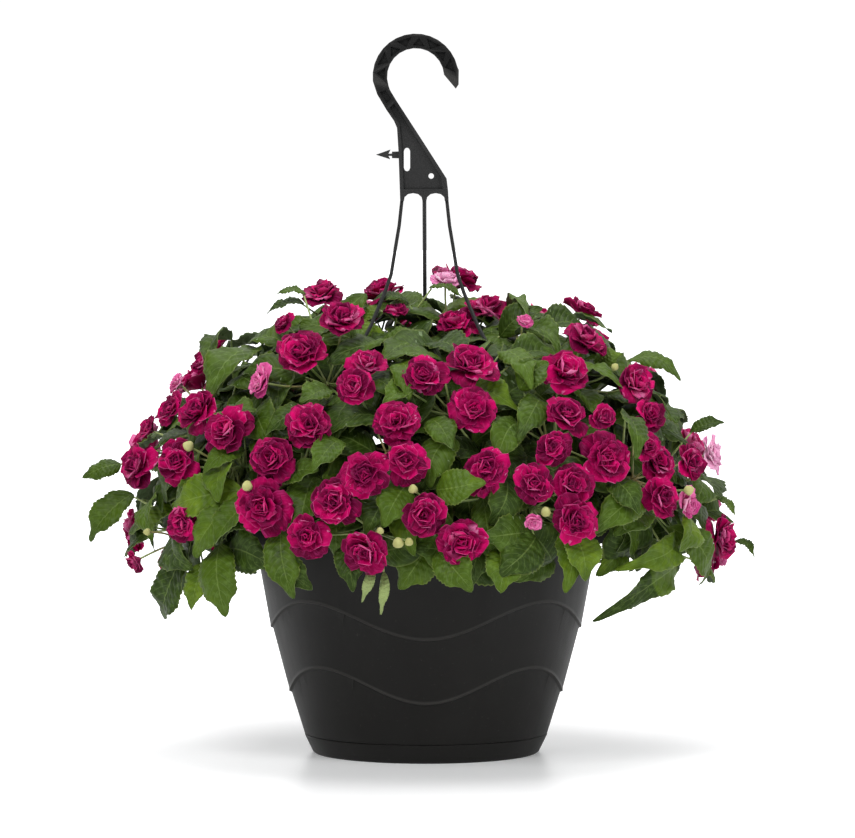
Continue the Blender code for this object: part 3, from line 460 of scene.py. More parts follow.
def pot_rows(angle):
    """The pot's profile at one angle, from the middle of its underside out, up the wall, over the rim and down inside."""
    low, high = wave(*LOW_WAVE, angle), wave(*HIGH_WAVE, angle)
    foot = SAUCER_WALL + GAP
    inner = lambda z: wall_radius(z) - WALL
    return [
        (SAUCER_FOOT_R - SAUCER_WALL - 0.0016, foot),
        (SAUCER_R - SAUCER_WALL - 0.0006, SAUCER_H - 0.0002),
        (SAUCER_R - SAUCER_WALL - 0.0006, SAUCER_H + GAP),
        (wall_radius(SAUCER_H) - STEP_OUT * 0.5, SAUCER_H + GAP),
        (wall_radius(low) - STEP_OUT * 1.0, low - 0.0008),
        (wall_radius(low), low),
        (wall_radius(high) - STEP_OUT * 0.3, high - 0.0008),
        (wall_radius(high) + STEP_OUT * 0.7, high),
        (NECK_R + 0.0006, RIM_TOP - RIM_SKIRT),
        (NECK_R + 0.0026, RIM_TOP - 0.0020),
        (RIM_R - 0.0018, RIM_TOP - 0.0020),
        (RIM_R - 0.0018, RIM_TOP - RIM_SKIRT),
        (RIM_R, RIM_TOP - RIM_SKIRT),
        (RIM_R, RIM_TOP - 0.0016),
        (RIM_R - 0.0016, RIM_TOP),
        (NECK_R + 0.0006, RIM_TOP),
        (inner(0.174), RIM_TOP - 0.004),
        (inner(0.1455), 0.1455),
        (inner(0.075) - STEP_OUT, 0.075),
        (inner(SAUCER_H) - STEP_OUT * 2, SAUCER_H + 0.004),
        (SAUCER_FOOT_R - SAUCER_WALL - 0.004, foot + WALL),
    ]


def turned_shape(rows_at, segments=SEGMENTS):
    """A turned shape whose profile may change with the angle, closed at both ends on the axis."""
    verts, faces, count = [], [], len(rows_at(0.0))
    for s in range(segments):
        a = 2 * math.pi * s / segments
        for r, z in rows_at(a):
            verts.append(Vector((r * math.cos(a), r * math.sin(a), z)))
    for s in range(segments):
        t = (s + 1) % segments
        for k in range(count - 1):
            faces.append((s * count + k, t * count + k, t * count + k + 1, s * count + k + 1))
    faces.append(tuple(s * count for s in range(segments)))
    faces.append(tuple(s * count + count - 1 for s in reversed(range(segments))))
    return verts, faces



SAUCER_ROWS = [
    (SAUCER_FOOT_R, 0.0),
    (SAUCER_FOOT_R + 0.0016, 0.0012),
    (SAUCER_R - 0.0004, SAUCER_H - 0.001),
    (SAUCER_R - 0.0004, SAUCER_H),
    (SAUCER_R - SAUCER_WALL, SAUCER_H),
    (SAUCER_FOOT_R - SAUCER_WALL + 0.0008, SAUCER_WALL),
]

HOOK_C, HOOK_OUT, HOOK_IN = (415.6, 76.7), 43.0, 28.5


def hook_arc(radius, start, end, n):
    for i in range(n):
        q = math.radians(start + (end - start) * i / (n - 1))
        yield HOOK_C[0] + radius * math.cos(q), HOOK_C[1] - radius * math.sin(q)


outline = [(455.8, 88.7), (458.6, 84.5), (458.8, 70.0)]
outline += list(hook_arc(HOOK_OUT, 12, 186, 16))
outline += [(377.2, 94.4), (386.5, 110.0), (394.0, 121.0), (397.0, 128.0), (398.4, 150.0), (400.2, 201.0)]
outline += [(404.0, 201.0), (404.6, 197.2), (408.0, 194.2), (413.0, 193.2), (418.2, 194.2), (421.6, 197.2), (422.4, 201.0)]
outline += [(426.4, 201.0), (427.2, 197.2), (430.6, 194.2), (435.8, 193.2), (440.8, 194.2), (444.2, 197.2), (444.8, 201.0)]
outline += [(448.6, 201.0), (448.0, 190.0), (446.6, 178.5), (421.0, 138.5), (396.0, 100.0), (390.0, 90.0)]
outline += list(hook_arc(HOOK_IN, 199, 4, 14))



def strand_path(top_u, angle):
    """Down the middle of a strand: how far it stands out from the axis, at heights read off the front elevation."""
    out = ((203.5, 0.0), (226, 0.0022), (245.4, 0.0048), (274.7, 0.0085), (293.8, 0.0138), (326, 0.0243), (346.6, 0.0325))
    start = spot(top_u, 200.5)
    side = Vector((math.cos(angle), math.sin(angle), 0))
    pts = [spot(top_u, 197.0), start]
    reach = STRAND_AT - (start.x * side.x if abs(side.x) > 0.1 else 0.0)
    flat = Vector((start.x, 0, 0))
    for v, k in out[1:]:
        f = (v - 203.5) / (532.0 - 203.5)
        if abs(side.x) > 0.1:
            x = start.x + math.copysign(k, side.x)
            y = -bow(v)
        else:
            x, y = start.x * (1 - f), STRAND_AT * (k / 0.118)
        pts.append(Vector((x, y, spot(top_u, v, y).z)))
    last, foot = pts[-1], side * STRAND_AT + Vector((0, 0, RIM_TOP + 0.006))
    back = pts[-2]
    pull = last + (last - back).normalized() * ((foot - last).length * 0.45)
    pts += bend(last, pull, foot, 6)[1:]
    pts += [side * STRAND_AT + Vector((0, 0, RIM_TOP - 0.004)), side * STRAND_AT + Vector((0, 0, RIM_TOP - 0.0297))]
    return pts


STRANDS = {"left": (401.9, math.radians(210)), "right": (446.8, math.radians(-30)), "back": (424.4, math.radians(90))}

strand_blocks = [rod(strand_path(u, a), STRAND_R + 0.0008, 6) for u, a in STRANDS.values()]
front = [spot(u, v) - Vector((0, PLATE_T / 2, 0)) for u, v in outline]
plate_block = (front + [p + Vector((0, PLATE_T, 0)) for p in front], ring_faces(2, len(front)))
PINK = {51, 45, 47, 54, 52, 50, 49}
TIRED = {45, 46}
TWISTED = 9
PALEST = {49, 51}
BLUSH = {1, 2, 19, 20, 34, 41, 45, 8, 36}

# ---------------------------------------------------------------- scene
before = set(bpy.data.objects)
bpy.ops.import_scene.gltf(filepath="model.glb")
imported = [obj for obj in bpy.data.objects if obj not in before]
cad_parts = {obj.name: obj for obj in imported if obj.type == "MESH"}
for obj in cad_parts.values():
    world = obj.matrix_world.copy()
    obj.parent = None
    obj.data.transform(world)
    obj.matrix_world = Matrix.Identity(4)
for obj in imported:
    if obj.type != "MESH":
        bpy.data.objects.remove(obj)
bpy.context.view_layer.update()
scene = bpy.context.scene


# ---------------------------------------------------------------- node helpers
class Nodes:
    """A small builder for node materials."""

    def __init__(self, name):
        self.mat = bpy.data.materials.new(name)
        self.mat.use_nodes = True
        self.tree = self.mat.node_tree
        self.shader = self.tree.nodes["Principled BSDF"]

    def new(self, kind, **values):
        node = self.tree.nodes.new(kind)
        for key, value in values.items():
            setattr(node, key, value)
        return node

    def link(self, a, b):
        self.tree.links.new(a, b)

    def feed(self, socket, value):
        if hasattr(value, "is_output"):
            self.link(value, socket)
        elif isinstance(value, (tuple, list)):
            socket.default_value = (*value, 1) if len(value) == 3 and len(socket.default_value) == 4 else value
        else:
            socket.default_value = value

    def math(self, op, *args, clamp=False):
        node = self.new("ShaderNodeMath", operation=op, use_clamp=clamp)
        for i, a in enumerate(args):
            self.feed(node.inputs[i], a)
        return node.outputs[0]

    def span(self, value, lo, hi, to_lo=0.0, to_hi=1.0, smooth=True):
        node = self.new("ShaderNodeMapRange", interpolation_type="SMOOTHSTEP" if smooth else "LINEAR")
        for i, a in enumerate((value, lo, hi, to_lo, to_hi)):
            self.feed(node.inputs[i], a)
        return node.outputs[0]

    def mix(self, factor, a, b, blend="MIX"):
        node = self.new("ShaderNodeMix", data_type="RGBA", blend_type=blend)
        self.feed(node.inputs[0], factor)
        self.feed(node.inputs[6], a)
        self.feed(node.inputs[7], b)
        return node.outputs[2]

    def attribute(self, name):
        node = self.new("ShaderNodeAttribute", attribute_name=name)
        split = self.new("ShaderNodeSeparateColor")
        self.link(node.outputs["Color"], split.inputs[0])
        return split.outputs[0], split.outputs[1], split.outputs[2]

    def noise(self, scale, detail=3.0, rough=0.55, vector=None, stretch=None, out=0):
        coord = self.new("ShaderNodeTexCoord").outputs["Object"] if vector is None else vector
        if stretch:
            m = self.new("ShaderNodeMapping")
            self.link(coord, m.inputs[0])
            m.inputs["Scale"].default_value = stretch
            coord = m.outputs[0]
        node = self.new("ShaderNodeTexNoise")
        self.link(coord, node.inputs["Vector"])
        node.inputs["Scale"].default_value = scale
        node.inputs["Detail"].default_value = detail
        node.inputs["Roughness"].default_value = rough
        return node.outputs[out]

    def bump(self, height, distance, strength=1.0, before=None):
        node = self.new("ShaderNodeBump")
        self.feed(node.inputs["Height"], height)
        node.inputs["Distance"].default_value = distance
        node.inputs["Strength"].default_value = strength
        if before is not None:
            self.link(before, node.inputs["Normal"])
        return node.outputs[0]

    def finish(self, colour, rough, normal=None, **plain_values):
        self.feed(self.shader.inputs["Base Color"], colour)
        self.feed(self.shader.inputs["Roughness"], rough)
        if normal is not None:
            self.link(normal, self.shader.inputs["Normal"])
        for key, value in plain_values.items():
            self.shader.inputs[key.replace("_", " ")].default_value = value
        return self.mat


def leaf_material():
    n = Nodes("leaf_blade")
    rand, along, kind = n.attribute("tone")
    under, across, _ = n.attribute("side")
    off = n.math("ABSOLUTE", n.math("SUBTRACT", n.math("MULTIPLY", across, 2.0), 1.0))
    # lateral veins sweep forward from the midrib to the margin
    phase = n.math("SUBTRACT", n.math("MULTIPLY", along, 9.0), n.math("MULTIPLY", n.math("POWER", off, 1.3), 2.4))
    saw = n.math("ABSOLUTE", n.math("SUBTRACT", n.math("FRACT", phase), 0.5))
    lateral = n.math("MULTIPLY", n.span(saw, 0.41, 0.495), n.span(off, 1.0, 0.55))
    mid = n.span(off, n.math("ADD", 0.035, n.math("MULTIPLY", n.math("SUBTRACT", 1.0, along), 0.05)), 0.0)
    vein = n.math("MAXIMUM", n.math("MULTIPLY", lateral, 0.50), mid)
    cloud = n.noise(55.0, 4.0)
    fine = n.noise(900.0, 3.0, 0.6)
    blotch = n.noise(240.0, 3.0, 0.6)
    shade = n.math("ADD", n.math("MULTIPLY", rand, 0.75), n.math("MULTIPLY", n.math("SUBTRACT", cloud, 0.5), 0.9), clamp=True)
    body = n.mix(n.span(shade, 0.0, 0.55), DARK_GREEN, MID_GREEN)
    body = n.mix(n.span(shade, 0.55, 1.0), body, LIGHT_GREEN)
    body = n.mix(n.math("MULTIPLY", n.span(blotch, 0.45, 0.75), 0.25), body, (0.16, 0.26, 0.06))
    # painted shade: the blade is painted darker towards each lateral vein, where the bump sinks it into a groove
    body = n.mix(n.math("MULTIPLY", n.span(saw, 0.0, 0.5), 0.14), body, (0.02, 0.05, 0.008))
    body = n.mix(n.math("MULTIPLY", vein, 0.26), body, (0.26, 0.36, 0.10))
    edge = n.span(off, 0.90, 1.0)
    body = n.mix(n.math("MULTIPLY", edge, 0.25), body, (0.30, 0.36, 0.10))
    back = n.mix(n.math("MULTIPLY", vein, 0.5), (0.165, 0.225, 0.115), (0.30, 0.36, 0.20))
    back = n.mix(n.math("MULTIPLY", rand, 0.5), back, (0.11, 0.16, 0.08))
    colour = n.mix(n.math("MULTIPLY", under, 0.85), body, back)
    tired = n.span(kind, 0.6, 0.9)
    colour = n.mix(n.math("MULTIPLY", tired, 0.70), colour, (0.30, 0.37, 0.15))
    height = n.math("SUBTRACT", n.math("MULTIPLY", n.span(saw, 0.5, 0.0), 0.6), n.math("MULTIPLY", vein, 0.55))
    normal = n.bump(height, 0.0005, 0.6)
    normal = n.bump(fine, 0.00012, 0.6, normal)
    rough = n.span(n.math("ADD", n.math("MULTIPLY", cloud, 0.6), n.math("MULTIPLY", under, 0.3)), 0.1, 0.9, 0.42, 0.68)
    return n.finish(colour, rough, normal, Specular_IOR_Level=0.13)


def petal_material(name, deep, main, light, pale):
    n = Nodes(name)
    rand, along, whorl = n.attribute("tone")
    under, across, blush = n.attribute("side")
    under = n.math("MULTIPLY", under, n.span(whorl, 0.75, 0.30))
    off = n.math("ABSOLUTE", n.math("SUBTRACT", n.math("MULTIPLY", across, 2.0), 1.0))
    cloud = n.noise(120.0, 3.0)
    fine = n.noise(1400.0, 2.0, 0.6)
    # fine streaks run from the petal's base to its edge
    coords = n.new("ShaderNodeCombineXYZ")
    n.feed(coords.inputs[0], n.math("MULTIPLY", across, 34.0))
    n.feed(coords.inputs[1], n.math("MULTIPLY", along, 2.2))
    n.feed(coords.inputs[2], n.math("MULTIPLY", rand, 90.0))
    streak = n.noise(1.0, 2.0, 0.6, vector=coords.outputs[0])
    tone = n.math("ADD", n.math("MULTIPLY", n.math("SUBTRACT", cloud, 0.5), 1.0), n.math("MULTIPLY", rand, 0.55))
    body = n.mix(n.span(tone, 0.0, 0.7), deep, main)
    # painted shade: each petal is painted deeper towards its base, in the bloom's middle
    body = n.mix(n.span(along, 0.08, 0.74), n.mix(0.85, body, deep), body)
    body = n.mix(n.math("MULTIPLY", n.span(streak, 0.50, 0.72), 0.20), body, light)
    # painted highlight: pale lines are painted along each petal's edge and tip
    rim = n.math("MAXIMUM", n.span(along, 0.93, 1.0), n.math("MULTIPLY", n.span(off, 0.93, 1.0), n.span(along, 0.2, 0.6)))
    body = n.mix(n.math("MULTIPLY", rim, 0.13), body, light)
    glow = n.math("MULTIPLY", n.math("MULTIPLY", blush, n.span(along, 0.25, 0.85)), n.span(off, 1.0, 0.2))
    body = n.mix(n.math("MULTIPLY", glow, 0.70), body, n.mix(n.span(streak, 0.4, 0.65), (0.86, 0.30, 0.54), light))
    back = n.mix(n.span(streak, 0.35, 0.7), pale, light)
    back = n.mix(n.span(rand, 0.45, 0.80), main, back)
    colour = n.mix(n.math("MULTIPLY", under, 0.52), body, back)
    normal = n.bump(streak, 0.0004, 0.55)
    normal = n.bump(fine, 0.00008, 0.5, normal)
    rough = n.span(cloud, 0.2, 0.8, 0.50, 0.68)
    return n.finish(colour, rough, normal, Specular_IOR_Level=0.06)


def stem_material():
    n = Nodes("stem_skin")
    cloud = n.noise(60.0, 4.0)
    fine = n.noise(700.0, 3.0, 0.6, stretch=(1.0, 1.0, 0.12))
    colour = n.mix(n.span(cloud, 0.3, 0.7), (0.16, 0.24, 0.06), (0.30, 0.36, 0.12))
    colour = n.mix(n.math("MULTIPLY", n.span(n.noise(25.0, 3.0), 0.52, 0.72), 0.5), colour, (0.26, 0.10, 0.06))
    return n.finish(colour, n.span(fine, 0.2, 0.8, 0.32, 0.52), n.bump(fine, 0.0002, 0.6), Specular_IOR_Level=0.45)


def plastic_material(name, base, light, grain=1600.0, rough=(0.46, 0.58), spec=0.17, dusty=True, highlit_waves=(), plate=None):
    n = Nodes(name)
    cloud = n.noise(14.0, 5.0, 0.6)
    leather = n.noise(grain, 2.0, 0.5)
    streaks = n.noise(30.0, 4.0, 0.65, stretch=(1.0, 1.0, 0.18))
    colour = n.mix(n.span(cloud, 0.3, 0.75), base, light)
    # painted highlight: the convex moulded edges are painted a little paler, as if they caught the light
    geo = n.new("ShaderNodeNewGeometry")
    painted_edge_highlight = n.span(geo.outputs["Pointiness"], 0.53, 0.62)
    colour = n.mix(n.math("MULTIPLY", painted_edge_highlight, 0.30), colour, (0.075, 0.073, 0.070))
    if highlit_waves:
        # painted highlight: the lip of each waved step is painted a little paler, as if it caught the light
        where = n.new("ShaderNodeSeparateXYZ")
        n.link(n.new("ShaderNodeTexCoord").outputs["Object"], where.inputs[0])
        turn = n.math("COSINE", n.math("MULTIPLY", n.math("ARCTAN2", where.outputs[1], where.outputs[0]), 4.0))
        for z, swing in highlit_waves:
            height = n.math("ADD", n.math("MULTIPLY", turn, -swing), z + 0.0008)
            gap = n.math("ABSOLUTE", n.math("SUBTRACT", where.outputs[2], height))
            colour = n.mix(n.math("MULTIPLY", n.span(gap, 0.0021, 0.0003), 0.50), colour, (0.045, 0.043, 0.040))
    if plate:
        # the flat plate is greyer than the hook above it
        height = n.new("ShaderNodeSeparateXYZ")
        n.link(n.new("ShaderNodeTexCoord").outputs["Object"], height.inputs[0])
        colour = n.mix(n.math("MULTIPLY", n.span(height.outputs[2], plate[1], plate[0]), 0.85), colour, (0.022, 0.022, 0.022))
    if dusty:
        speck = n.span(n.noise(420.0, 2.0, 0.7), 0.66, 0.74)
        colour = n.mix(n.math("MULTIPLY", speck, 0.12), colour, (0.10, 0.09, 0.08))
    r = n.span(n.math("ADD", n.math("MULTIPLY", cloud, 0.5), n.math("MULTIPLY", streaks, 0.5)), 0.3, 0.7, *rough)
    normal = n.bump(leather, 0.00010, 0.5)
    normal = n.bump(streaks, 0.0004, 0.15, normal)
    return n.finish(colour, r, normal, Specular_IOR_Level=spec)


def soil_material():
    n = Nodes("compost_crumb")
    big, small, fine = n.noise(70.0, 5.0, 0.7), n.noise(260.0, 4.0, 0.7), n.noise(1200.0, 3.0, 0.7)
    colour = n.mix(n.span(big, 0.35, 0.7), (0.022, 0.013, 0.008), (0.070, 0.042, 0.025))
    colour = n.mix(n.math("MULTIPLY", n.span(small, 0.55, 0.75), 0.6), colour, (0.13, 0.085, 0.05))
    colour = n.mix(n.span(n.noise(330.0, 1.0), 0.74, 0.77), colour, (0.55, 0.53, 0.48))
    normal = n.bump(big, 0.004, 0.7)
    normal = n.bump(small, 0.0015, 0.8, normal)
    normal = n.bump(fine, 0.0004, 0.8, normal)
    return n.finish(colour, n.span(fine, 0.2, 0.8, 0.75, 0.98), normal, Specular_IOR_Level=0.2)


DARK_GREEN, MID_GREEN, LIGHT_GREEN = (0.017, 0.034, 0.002), (0.050, 0.090, 0.004), (0.145, 0.225, 0.010)
LEAF = leaf_material()
PETALS = [
    petal_material("petal_magenta", (0.095, 0.000, 0.023), (0.49, 0.000, 0.100), (0.74, 0.07, 0.32), (0.80, 0.38, 0.62)),
    petal_material("petal_pink", (0.46, 0.030, 0.18), (0.72, 0.160, 0.38), (0.88, 0.46, 0.64), (0.93, 0.76, 0.85)),
]
PALE_PETAL = petal_material("petal_pale", (0.60, 0.16, 0.36), (0.84, 0.46, 0.64), (0.90, 0.70, 0.81), (0.94, 0.86, 0.92))
BUD = petal_material("bud_pale", (0.34, 0.34, 0.12), (0.52, 0.50, 0.26), (0.76, 0.66, 0.56), (0.80, 0.74, 0.62))
STEM = stem_material()
POT = plastic_material("pot_plastic", (0.0055, 0.0051, 0.0045), (0.0085, 0.0080, 0.0071), highlit_waves=(LOW_WAVE, HIGH_WAVE))
SAUCER = plastic_material("saucer_plastic", (0.0055, 0.0051, 0.0045), (0.0085, 0.0080, 0.0071))
HANGER = plastic_material("hanger_plastic", (0.0030, 0.0030, 0.0030), (0.0060, 0.0060, 0.0060), rough=(0.42, 0.54), spec=0.13, plate=(0.486, 0.520))
SOIL = soil_material()


# ---------------------------------------------------------------- mesh helpers
class Heap:
    """Vertices, quads and their attributes, gathered for one piece."""

    def __init__(self):
        self.v, self.f, self.m, self.tone, self.side, self.count = [], [], [], [], [], 0

    def add(self, verts, quads, slot=0, tone=None, side=None):
        n = len(verts)
        self.v.append(np.asarray(verts, float))
        self.f.append(np.asarray(quads, int) + self.count)
        self.m.append(np.full(len(quads), slot))
        self.tone.append(np.tile((0.5, 0.5, 0.0, 1.0), (n, 1)) if tone is None else tone)
        self.side.append(np.tile((0.0, 0.5, 0.0, 1.0), (n, 1)) if side is None else side)
        self.count += n

    def piece(self, name, mats, slot, replaces=()):
        verts, quads = np.concatenate(self.v), np.concatenate(self.f)
        me = bpy.data.meshes.new(name)
        me.vertices.add(len(verts))
        me.vertices.foreach_set("co", verts.ravel())
        me.loops.add(quads.size)
        me.loops.foreach_set("vertex_index", quads.ravel())
        me.polygons.add(len(quads))
        me.polygons.foreach_set("loop_start", np.arange(len(quads)) * 4)
        me.polygons.foreach_set("loop_total", np.full(len(quads), 4))
        me.polygons.foreach_set("material_index", np.concatenate(self.m).astype(np.int32))
        me.update(calc_edges=True)
        for key, data in (("tone", self.tone), ("side", self.side)):
            layer = me.attributes.new(key, "FLOAT_COLOR", "POINT")
            layer.data.foreach_set("color", np.concatenate(data).astype(np.float32).ravel())
        for m in mats:
            me.materials.append(m)
        me.validate()
        me.shade_smooth()
        ob = bpy.data.objects.new(name, me)
        scene.collection.objects.link(ob)
        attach(ob, "root")
        if replaces:
            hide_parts(*replaces)
        return ob


def sheet_faces(rows, cols):
    idx = np.arange(rows * cols).reshape(rows, cols)
    q = np.stack([idx[:-1, :-1], idx[:-1, 1:], idx[1:, 1:], idx[1:, :-1]], -1).reshape(-1, 4)
    loop = np.concatenate([idx[0, :-1], idx[:-1, -1], idx[-1, :0:-1], idx[:0:-1, 0]])
    after = np.roll(loop, -1)
    n = rows * cols
    return np.concatenate([q, q[:, ::-1] + n, np.stack([after, loop, loop + n, after + n], -1)])


def thick_sheet(points, thickness):
    """A closed thin body from a grid of points: its upper and under skin and the edge between."""
    dr, dc = np.gradient(points, axis=0), np.gradient(points, axis=1)
    normal = np.cross(dc, dr)
    normal /= np.linalg.norm(normal, axis=2, keepdims=True) + 1e-12
    return np.concatenate([(points + normal * thickness / 2).reshape(-1, 3), (points - normal * thickness / 2).reshape(-1, 3)])


def arr(v):
    return np.array((v.x, v.y, v.z))


def tube_rows(points, radii, sides=8):
    """A round, closed tube along points. Its ends close in a blunt tip."""
    pts = [points[0]] + list(points) + [points[-1]]
    rr = [radii[0] * 0.15] + list(radii) + [radii[-1] * 0.15]
    verts, last = [], None
    for k, p in enumerate(pts):
        i = min(max(k - 1, 0), len(points) - 1)
        t = (points[min(i + 1, len(points) - 1)] - points[max(i - 1, 0)]).normalized()
        a = (last - t * last.dot(t)).normalized() if last is not None else t.orthogonal().normalized()
        b = t.cross(a)
        last = a
        for j in range(sides):
            q = 2 * math.pi * j / sides
            verts.append(tuple(p + (a * math.cos(q) + b * math.sin(q)) * rr[k]))
    quads = []
    for k in range(len(pts) - 1):
        for j in range(sides):
            a, b = k * sides + j, k * sides + (j + 1) % sides
            quads.append((a, b, b + sides, a + sides))
    for base, flip in ((0, True), ((len(pts) - 1) * sides, False)):
        for j in range(1, sides // 2):
            q = (base + j, base + j - 1 if j > 1 else base, base + sides - j + (0 if j > 1 else 0), base + sides - j - 1)
            q = (base + (j - 1), base + j, base + (sides - j - 1) % sides, base + (sides - j) % sides)
            if len(set(q)) == 4:
                quads.append(q[::-1] if flip else q)
    return verts, quads


def smooth_path(points, n):
    """A smooth curve through points."""
    out = []
    segs = len(points) - 1
    for k in range(segs):
        p0, p1, p2, p3 = points[max(k - 1, 0)], points[k], points[k + 1], points[min(k + 2, segs)]
        steps = max(2, round(n / segs))
        for i in range(steps):
            t = i / steps
            out.append(0.5 * ((2 * p1) + (p2 - p0) * t + (2 * p0 - 5 * p1 + 4 * p2 - p3) * t * t + (3 * p1 - p0 - 3 * p2 + p3) * t**3))
    out.append(points[-1])
    return out


# ---------------------------------------------------------------- leaves
LEAF_GRIDS = {False: (43, 7), "middle": (25, 5), True: (13, 5)}
LEAF_FACES = {k: sheet_faces(*grid) for k, grid in LEAF_GRIDS.items()}


def add_leaf(heap, leaf, rnd, tone=None, tired=False, coarse=False):
    rows, cols = LEAF_GRIDS[coarse]
    base, tip, normal, width = leaf["base"], leaf["tip"], leaf["normal"], leaf["width"]
    along = tip - base
    length = along.length
    ahead = along / length
    side = ahead.cross(normal).normalized()
    up = side.cross(ahead).normalized()
    t = np.linspace(0, 1, rows)[:, None]
    s = np.linspace(-1, 1, cols)[None, :]
    s = np.sign(s) * np.abs(s) ** 0.8
    slim = rnd.uniform(-0.08, 0.10)
    shape = np.clip(t, 0.0, 1) ** (0.66 + slim) * (1 - t) ** 0.74
    shape = shape * (1 - 0.36 * np.sin(math.pi * np.clip((t - 0.74) / 0.26, 0, 1)))
    shape = shape / shape.max() * rnd.uniform(0.98, 1.10)
    saw = np.full((rows, 1), 0.5) if coarse is True else (np.arange(rows)[:, None] % (2 if coarse else 3)) / (1.0 if coarse else 2.0)
    teeth = 1 + (0.072 * (saw - 0.5)) * (np.abs(s) > 0.9) * (t > 0.08) * (t < 0.97)
    half = np.clip(width * 0.5 * shape * teeth, 0.0005, None)
    y = half * s
    fold = rnd.uniform(0.14, 0.62)
    droop = rnd.uniform(0.05, 0.42)
    lean = rnd.uniform(-0.22, 0.22)
    ph, ph2 = rnd.uniform(0, 6.28), rnd.uniform(0, 6.28)
    hump = length * (0.09 + droop * 0.25) * np.sin(math.pi * t**0.9)
    z = hump + np.abs(y) * fold + y * lean
    z = z - (np.abs(s) ** 2.2) * half * rnd.uniform(0.05, 0.45)
    z = z - length * rnd.uniform(0.0, 0.16) * np.clip((t - 0.62) / 0.38, 0, 1) ** 2
    z = z + length * 0.026 * np.sin(2 * math.pi * 1.9 * t + ph + s * 0.9) * s * s
    z = z + length * 0.014 * np.sin(2 * math.pi * 3.9 * t + ph2 + s) * s * s
    lateral = (t * 9.0 - 2.4 * np.abs(s) ** 1.3) % 1
    z = z + 0.00045 * np.cos((lateral - 0.0) * 2 * math.pi) * -1 * np.clip(shape, 0, 1)
    x = length * t + 0 * s
    sway = rnd.uniform(-0.10, 0.10) * length * np.sin(math.pi * t)
    if leaf.get("tag") == TWISTED:
        sway = 0.055 * length * np.sin(math.pi * t) * (1 if side.z > 0 else -1)
        y = y * (1 - 0.30 * np.clip((t - 0.42) / 0.14, 0, 1))
        x = x - 0.16 * length * np.clip(t - 0.42, 0, 1)
    y = y + sway
    P = arr(base) + x[..., None] * arr(ahead) + y[..., None] * arr(side) + z[..., None] * arr(up)
    verts = thick_sheet(P, 0.00045)
    n = rows * cols
    r = rnd.random() if tone is None else tone
    tt = np.broadcast_to(t, (rows, cols)).ravel()
    ss = np.broadcast_to(s * 0.5 + 0.5, (rows, cols)).ravel()
    tones = np.stack([np.where(tt > 0.5, 0.0, 0.8) if leaf.get("tag") == TWISTED else np.full(n, r), tt, np.full(n, 1.0 if tired else 0.0), np.ones(n)], -1)
    sides = np.stack([np.zeros(n), ss, np.zeros(n), np.ones(n)], -1)
    under = sides.copy()
    under[:, 0] = 1.0
    heap.add(verts, LEAF_FACES[coarse], 0, np.concatenate([tones, tones]), np.concatenate([sides, under]))
    if "root" in leaf:
        root = leaf["root"]
        bow = base + (base - root).normalized() * 0.0 + Vector((0, 0, -0.15)) * (base - root).length * 0.3
        path = bend(root, (root + bow) * 0.5 + (base - root) * 0.1, base + ahead * 0.002, 6)
        v, q = tube_rows(path, [0.0011, 0.0010, 0.0009, 0.0009, 0.0008, 0.0007], 6)
        heap.add(v, q, 1)


# ---------------------------------------------------------------- blooms
PETAL_ROWS, PETAL_COLS = 6, 7
PETAL_FACES = sheet_faces(PETAL_ROWS, PETAL_COLS)
# whorls: petals, length, width, rise at the base and at the edge in degrees, cup, ruffle, start above the base
WHORLS = (
    (5, 1.16, 1.46, 54, -16, 0.08, 0.040, 0.00),
    (5, 1.04, 1.26, 64, 4, 0.18, 0.045, 0.05),
    (5, 0.90, 1.02, 76, 22, 0.32, 0.050, 0.10),
    (4, 0.76, 0.84, 86, 42, 0.50, 0.050, 0.13),
    (3, 0.64, 0.66, 94, 62, 0.72, 0.045, 0.15),
    (2, 0.54, 0.46, 98, 84, 0.95, 0.030, 0.16),
)


